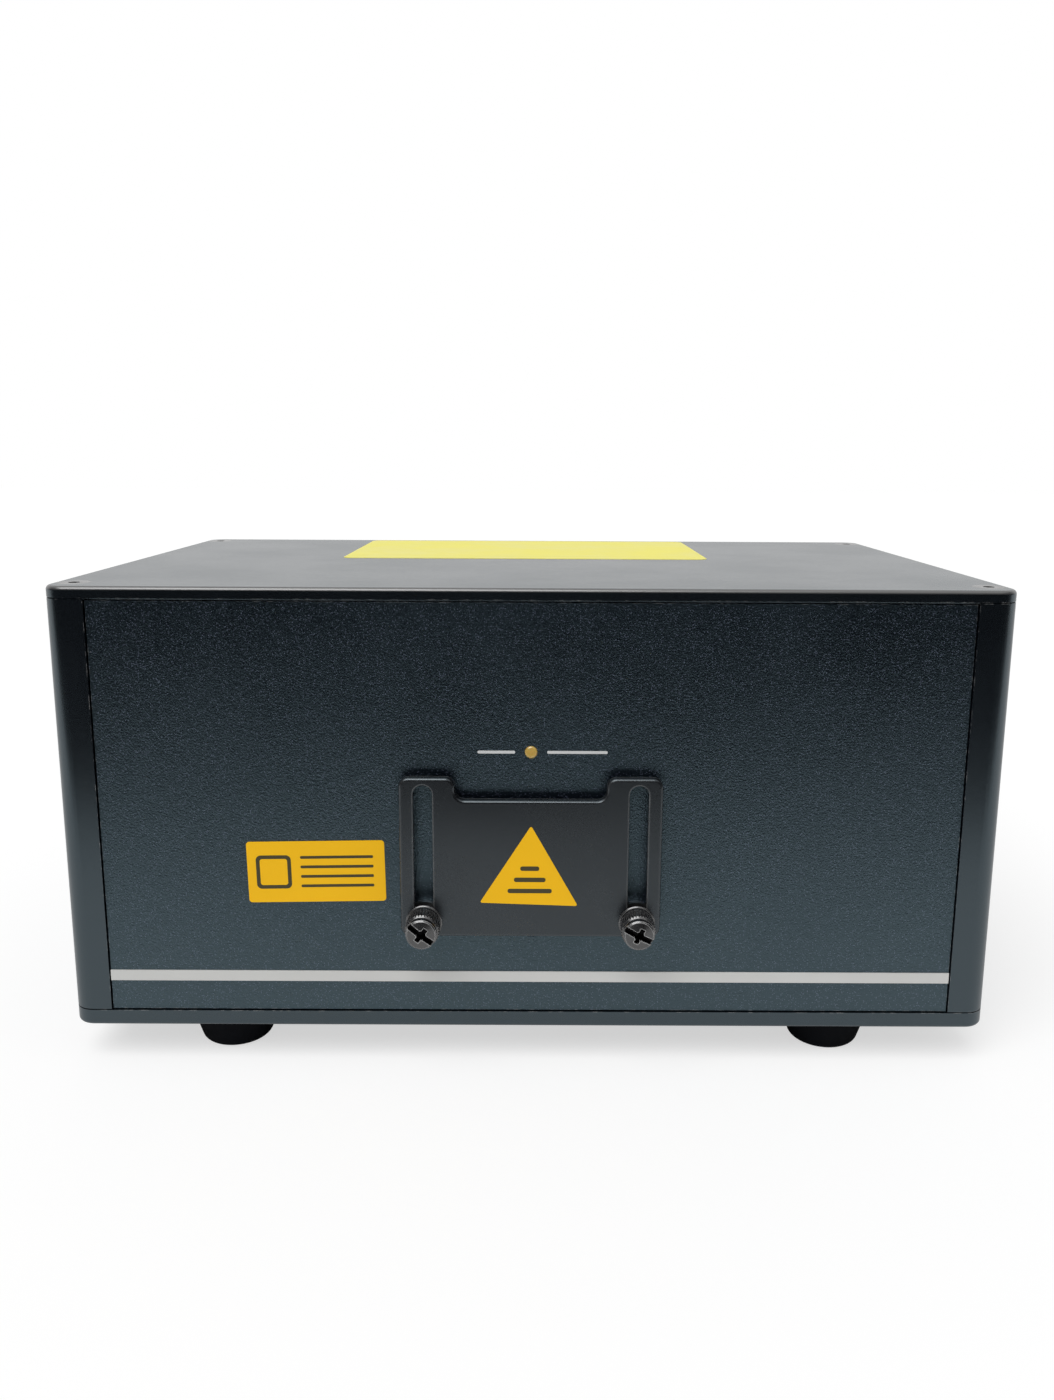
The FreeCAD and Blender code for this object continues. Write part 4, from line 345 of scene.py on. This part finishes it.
def screw_finish():
    """Blackened steel of the thumbscrews, rubbed along the edges and lightened there by a painted highlight,
    most on the cap, with painted shade in the slots.
    """
    finish = Finish("screw_black")
    low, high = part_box("thumbscrew_right")
    parts = add(finish.tree, "ShaderNodeSeparateXYZ", Vector=finish.place).outputs
    folded = add(finish.tree, "ShaderNodeMath", {"operation": "ABSOLUTE"})
    connect(finish.tree, folded.inputs[0], parts["X"])
    level = add(finish.tree, "ShaderNodeCombineXYZ", X=folded.outputs[0], Z=parts["Z"]).outputs["Vector"]
    reach = add(finish.tree, "ShaderNodeVectorMath", {"operation": "DISTANCE"})
    connect(finish.tree, reach.inputs[0], level)
    reach.inputs[1].default_value = ((low.x + high.x) / 2, 0, (low.z + high.z) / 2)

    def at_radius(start, end):
        return finish.between(reach.outputs["Value"], start * MM, end * MM)

    def at_depth(start, end):
        return finish.between(parts["Y"], low.y + start * MM, low.y + end * MM)

    # Painted shade: the floor and walls of the slots are laid near black with almost no gloss.
    slot_shade = finish.times(at_radius(*SLOT_SHADE_RADIUS), at_depth(*SLOT_SHADE_DEPTH))
    cloud = finish.between(finish.noise(SCREW_PATCH_SIZE, 3), *CLOUD_FADE)
    tone = finish.mix(cloud, rgba(SCREW_BLACK, 0.8), rgba(SCREW_BLACK, 1.2))
    # Knurl edges and, paler, the cap's rim: partly rubbed steel, partly a painted highlight.
    tone = finish.mix(finish.edges(KNURL_EDGE_REACH, SCREW_LEAST_WEAR_AND_HIGHLIGHT), tone, WORN_STEEL_AND_HIGHLIGHT)
    cap_wear_and_highlight = finish.times(finish.edges(CAP_EDGE_REACH, SCREW_LEAST_WEAR_AND_HIGHLIGHT), at_depth(*CAP_EDGE_DEPTH))
    tone = finish.mix(cap_wear_and_highlight, tone, CAP_WEAR_AND_HIGHLIGHT)
    finish.use(
        Base_Color=finish.mix(slot_shade, tone, SLOT_SHADE_BLACK),
        Roughness=finish.between(cloud, 0.0, 1.0, 0.17, 0.25),
        Specular_IOR_Level=finish.between(slot_shade, 0.0, 1.0, 0.5, 0.02),
        Normal=finish.relief(finish.noise(0.2), 0.004),
        IOR=2.0,
    )
    return finish.material


# Tints of the gloss, and a stretch that draws a grain out into lines along X
BLUE_BLACK = (0.62, 0.88, 1.0, 1.0)
SLATE_BLACK = (0.71, 0.90, 1.0, 1.0)
GREY_BLACK = (0.82, 0.93, 1.0, 1.0)
ALONG_X = (0.04, 1, 1)


def make_finishes():
    """One finish for each material slot of the record."""
    metal = {"Metallic": 1.0}
    return {
        "housing_black": coating(
            "housing_black", (0.003, 0.004, 0.006), 0.25, 0.3, 0.008,
            spread=0.015, dust=0.12, worn=(0.3, 0.0), rim_from=SLATE_BLACK,
            IOR=1.6, Specular_IOR_Level=0.95,
        ),
        "panel_black": coating(
            "panel_black", (0.0005, 0.001, 0.004), 0.31, 0.35, 0.12,
            spread=0.03, glint=0.36, dust=0.12, worn=(0.3, 0.0),
            IOR=1.66, Specular_IOR_Level=0.95, Specular_Tint=BLUE_BLACK,
        ),
        "shutter_black": coating(
            "shutter_black", (0.006, 0.0065, 0.008), 0.28, 0.14, 0.004, dust=0.1, worn=(0.5, 0.7),
            Specular_IOR_Level=0.94, Specular_Tint=GREY_BLACK,
        ),
        "screw_black": screw_finish(),
        "zinc_steel": coating("zinc_steel", (0.46, 0.46, 0.47), 0.32, 0.4, 0.004, spread=0.1, **metal),
        # Black rubber, darkened further as painted shade under the housing, with little gloss.
        "foot_rubber": coating(
            "foot_rubber", (0.002, 0.0025, 0.004), 0.7, 0.25, 0.02, Specular_IOR_Level=0.08,
        ),
        "trim_grey": coating(
            "trim_grey", (0.61, 0.61, 0.595), 0.42, 0.12, 0.002, uneven=0.04, stretch=ALONG_X,
        ),
        "led_amber": coating(
            "led_amber", (0.50, 0.33, 0.08), 0.14, 0.5, 0.01, uneven=0.3, Coat_Weight=1.0,
            Subsurface_Weight=0.2, Subsurface_Scale=0.001,
        ),
        "clear_glass": coating(
            "clear_glass", (0.93, 0.97, 0.96), 0.04, 2.0, 0.001, spread=0.02, uneven=0.02,
            Transmission_Weight=1.0, IOR=1.52,
        ),
        "mirror_coat": coating("mirror_coat", (0.90, 0.90, 0.92), 0.05, 2.0, 0.001, spread=0.03, **metal),
        "bare_aluminium": coating(
            "bare_aluminium", (0.60, 0.60, 0.62), 0.35, 0.25, 0.006, spread=0.08, stretch=ALONG_X, **metal,
        ),
        "rotor_steel": coating("rotor_steel", (0.50, 0.50, 0.50), 0.28, 0.3, 0.004, spread=0.08, **metal),
        "board_green": coating("board_green", (0.03, 0.17, 0.07), 0.4, 0.8, 0.01, Coat_Weight=0.3),
        "standoff_brass": coating(
            "standoff_brass", (0.70, 0.55, 0.25), 0.3, 0.3, 0.004, spread=0.08, **metal,
        ),
        "supply_case": coating(
            "supply_case", (0.62, 0.62, 0.63), 0.38, 0.3, 0.005, spread=0.08, stretch=ALONG_X, **metal,
        ),
        "fan_plastic": coating("fan_plastic", (0.014, 0.014, 0.015), 0.5, 0.3, 0.012, Specular_IOR_Level=0.5),
        "guard_steel": coating("guard_steel", (0.48, 0.48, 0.49), 0.22, 0.3, 0.003, spread=0.07, **metal),
        "inlet_plastic": coating(
            "inlet_plastic", (0.014, 0.014, 0.015), 0.33, 0.28, 0.010, spread=0.06, Specular_IOR_Level=0.5,
        ),
        "contact_metal": coating("contact_metal", (0.75, 0.66, 0.46), 0.22, 0.3, 0.003, spread=0.07, **metal),
        "socket_nickel": coating("socket_nickel", (0.44, 0.43, 0.42), 0.28, 0.3, 0.006, spread=0.1, **metal),
        "socket_black": coating(
            "socket_black", (0.014, 0.014, 0.015), 0.36, 0.2, 0.006, spread=0.06, Specular_IOR_Level=0.55,
        ),
    }


def dress_nodes():
    """Give each CAD node the finish of its material slot."""
    finishes = make_finishes()
    for row in frame["record"]["subparts"]:
        data = nodes[row["node"]].data
        data.materials.clear()
        data.materials.append(finishes[row["material_slot"]])


# Places on the part that labels and marks lie on
front_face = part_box("front_panel")[0].y
rear_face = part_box("rear_panel")[1].y
shutter_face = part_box("shutter_plate")[0].y
lid_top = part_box("top_lid")[1].z
FACING_FRONT = Matrix(((1, 0, 0), (0, 0, -1), (0, 1, 0))).to_4x4()
FACING_REAR = Matrix(((-1, 0, 0), (0, 0, 1), (0, 1, 0))).to_4x4()
FACING_UP = Matrix.Identity(4)


def rounded(corners, radius, steps=6):
    """Outline of a polygon with round corners, in millimetres."""
    points = []
    for i, corner in enumerate(corners):
        here = Vector(corner)
        back = (Vector(corners[i - 1]) - here).normalized()
        ahead = (Vector(corners[(i + 1) % len(corners)]) - here).normalized()
        half = back.angle(ahead) / 2
        centre = here + (back + ahead).normalized() * radius / math.sin(half)
        start = (here + back * radius / math.tan(half) - centre).normalized()
        end = (here + ahead * radius / math.tan(half) - centre).normalized()
        points += [centre + start.slerp(end, step / steps) * radius for step in range(steps + 1)]
    return points


def box_outline(width, height, radius, middle=(0, 0)):
    x, y = middle
    corners = [(x - width / 2, y - height / 2), (x + width / 2, y - height / 2)]
    corners += [(x + width / 2, y + height / 2), (x - width / 2, y + height / 2)]
    return rounded(corners, radius)


def ring_outline(radius, steps=32):
    turns = [2 * math.pi * step / steps for step in range(steps)]
    return [Vector((radius * math.cos(turn), radius * math.sin(turn))) for turn in turns]


def sheet_piece(name, outlines, thickness, turn, place, body, material, lift=0.0):
    """A thin flat piece with holes, in millimetres: its first outline is its rim and the others are holes."""
    shape = bmesh.new()
    edges = []
    for points in outlines:
        corners = [shape.verts.new((point[0] * MM, point[1] * MM, lift * MM)) for point in points]
        edges += [shape.edges.new((corners[i - 1], corners[i])) for i in range(len(corners))]
    filled = bmesh.ops.triangle_fill(shape, use_beauty=True, use_dissolve=True, edges=edges)
    faces = [item for item in filled["geom"] if isinstance(item, bmesh.types.BMFace)]
    raised = bmesh.ops.extrude_face_region(shape, geom=faces)
    verts = [item for item in raised["geom"] if isinstance(item, bmesh.types.BMVert)]
    bmesh.ops.translate(shape, vec=(0, 0, thickness * MM), verts=verts)
    bmesh.ops.recalc_face_normals(shape, faces=shape.faces)
    mesh = bpy.data.meshes.new(name)
    shape.to_mesh(mesh)
    shape.free()
    mesh.materials.append(material)
    piece = bpy.data.objects.new(name, mesh)
    scene.collection.objects.link(piece)
    piece.matrix_world = Matrix.Translation(place) @ turn
    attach(piece, body)


# Labels: sizes and places in millimetres, across and up, or to the rear for the sticker
LABEL_THICKNESS = 0.1
PRINT_THICKNESS = 0.03
STICKER_THICKNESS = 0.06
FRONT_LABEL_PLACE = (-51.4, 49.5)
FRONT_LABEL_SIZE = (33, 15.3)
FRONT_LABEL_TURN = math.radians(1.0)
FIELD_MIDDLE = (-10.2, 0)
FIELD_SIZE = 8.4
FIELD_OPENING = 6.6
LINE_LENGTH = 17.5
LINE_HEIGHT = 0.7
LINE_MIDDLE = 5
TOP_LINE = 3.6
LINE_PITCH = 2.4
SHUTTER_LABEL_CORNERS = [(-12.1, 43.2), (11.3, 42.45), (0.1, 62.4)]
LOW_BAR_LENGTH = 10.5
BAR_SHORTENING = 3
BAR_HEIGHT = 1.1
BAR_MIDDLE = -0.2
LOW_BAR = 46.2
BAR_PITCH = 2.8
STICKER_PLACE = (-2.25, 34.5)
STICKER_SIZE = (106.5, 65)


def make_labels():
    """Plain yellow labels with generic printed shapes, and a bare sticker on the lid."""
    yellow = coating(
        "label_yellow", (0.94, 0.52, 0.008), 0.4, 0.7, 0.006, uneven=0.02, Specular_IOR_Level=0.2,
    )
    ink = coating("label_print", (0.055, 0.045, 0.012), 0.42, 0.3, 0.004, uneven=0.1)
    pale = coating(
        "sticker_pale_yellow", (0.93, 0.85, 0.10), 0.4, 1.2, 0.006, uneven=0.03, Specular_IOR_Level=0.3,
    )
    place = Vector((FRONT_LABEL_PLACE[0] * MM, front_face, FRONT_LABEL_PLACE[1] * MM))
    turn = FACING_FRONT @ Matrix.Rotation(FRONT_LABEL_TURN, 4, "Z")
    plate = [box_outline(*FRONT_LABEL_SIZE, 0.8)]
    sheet_piece("front_label", plate, LABEL_THICKNESS, turn, place, "housing", yellow)
    field = [box_outline(FIELD_SIZE, FIELD_SIZE, 1.2, FIELD_MIDDLE)]
    field += [box_outline(FIELD_OPENING, FIELD_OPENING, 0.6, FIELD_MIDDLE)]
    sheet_piece("front_label_field", field, PRINT_THICKNESS, turn, place, "housing", ink, LABEL_THICKNESS)
    for step in range(4):
        line = [box_outline(LINE_LENGTH, LINE_HEIGHT, 0.3, (LINE_MIDDLE, TOP_LINE - LINE_PITCH * step))]
        name = f"front_label_line_{step + 1}"
        sheet_piece(name, line, PRINT_THICKNESS, turn, place, "housing", ink, LABEL_THICKNESS)

    place = Vector((0, shutter_face, 0))
    plate = [rounded(SHUTTER_LABEL_CORNERS, 0.35)]
    sheet_piece("shutter_label", plate, LABEL_THICKNESS, FACING_FRONT, place, "shutter", yellow)
    for step in range(3):
        length = LOW_BAR_LENGTH - BAR_SHORTENING * step
        bar = [box_outline(length, BAR_HEIGHT, 0.5, (BAR_MIDDLE, LOW_BAR + BAR_PITCH * step))]
        name = f"shutter_label_bar_{step + 1}"
        sheet_piece(name, bar, PRINT_THICKNESS, FACING_FRONT, place, "shutter", ink, LABEL_THICKNESS)

    place = Vector((STICKER_PLACE[0] * MM, STICKER_PLACE[1] * MM, lid_top))
    plate = [box_outline(*STICKER_SIZE, 3)]
    sheet_piece("lid_sticker", plate, STICKER_THICKNESS, FACING_UP, place, "housing", pale)


# Marks: sizes and places in millimetres
ROCKER_PIVOT = Vector((79, 70, 65.67))
ROCKER_REST_TURN = math.radians(8)
ROCKER_FACE_SLOPE = math.atan(0.2)
ROCKER_MARK_REACH = 5.5
ROCKER_MARK_RISE = 3.1
KEY_PLACE = Vector((79, 0, 94.33))
KEY_MARK_REACH = 13.6
LIGHT_MARK_LEVEL = 79.3
LIGHT_MARK_HEIGHT = 0.7
LIGHT_MARK_ENDS = {"left": (-12.6, -3.75), "right": (3.8, 18.0)}
REAR_PLATE_PLACE = (-63, 23.5)
REAR_PLATE_SIZE = (44, 11.5)
ON_BAR = [box_outline(0.7, 3.2, 0.1)]
OFF_RING = [ring_outline(1.6), ring_outline(1.0)]


def rocker_marks(white):
    """On and off marks on the two sloping halves of the rocker's face."""
    rest = Matrix.Rotation(ROCKER_REST_TURN, 4, "Z")
    for name, side, shape in (("on", 1, ON_BAR), ("off", -1, OFF_RING)):
        place = (ROCKER_PIVOT + rest @ Vector((side * ROCKER_MARK_REACH, ROCKER_MARK_RISE, 0))) * MM
        turn = rest @ Matrix.Rotation(side * ROCKER_FACE_SLOPE, 4, "Z") @ FACING_REAR
        sheet_piece(f"rocker_mark_{name}", shape, PRINT_THICKNESS, turn, place, "power_rocker", white)


def key_marks(white):
    """Off and on marks on the rear panel above and beside the key switch."""
    for name, across, up, shape in (("off", 0, 1, OFF_RING), ("on", -1, 0, ON_BAR)):
        x = KEY_PLACE.x + across * KEY_MARK_REACH
        z = KEY_PLACE.z + up * KEY_MARK_REACH
        place = Vector((x * MM, rear_face, z * MM))
        sheet_piece(f"key_mark_{name}", shape, PRINT_THICKNESS, FACING_REAR, place, "housing", white)


def make_marks():
    """Printed bars beside the status light, on and off marks and a bare plate at the rear."""
    grey = coating("mark_grey", (0.62, 0.63, 0.63), 0.5, 0.2, 0.004, uneven=0.05)
    place = Vector((0, front_face, LIGHT_MARK_LEVEL * MM))
    for name, (start, end) in LIGHT_MARK_ENDS.items():
        bar = [box_outline(end - start, LIGHT_MARK_HEIGHT, 0.3, ((start + end) / 2, 0))]
        sheet_piece(f"light_mark_{name}", bar, PRINT_THICKNESS, FACING_FRONT, place, "housing", grey)
    white = coating("mark_white", (0.75, 0.75, 0.74), 0.45, 0.2, 0.004, uneven=0.04)
    rocker_marks(white)
    key_marks(white)
    silver = coating(
        "bare_plate_silver", (0.50, 0.50, 0.51), 0.36, 0.2, 0.003, stretch=ALONG_X, Metallic=1.0,
    )
    place = Vector((REAR_PLATE_PLACE[0] * MM, rear_face, REAR_PLATE_PLACE[1] * MM))
    plate = [box_outline(*REAR_PLATE_SIZE, 0.8)]
    sheet_piece("rear_bare_plate", plate, LABEL_THICKNESS, FACING_REAR, place, "housing", silver)


make_camera()
make_world()
make_sun()
make_floor()
dress_nodes()
make_labels()
make_marks()
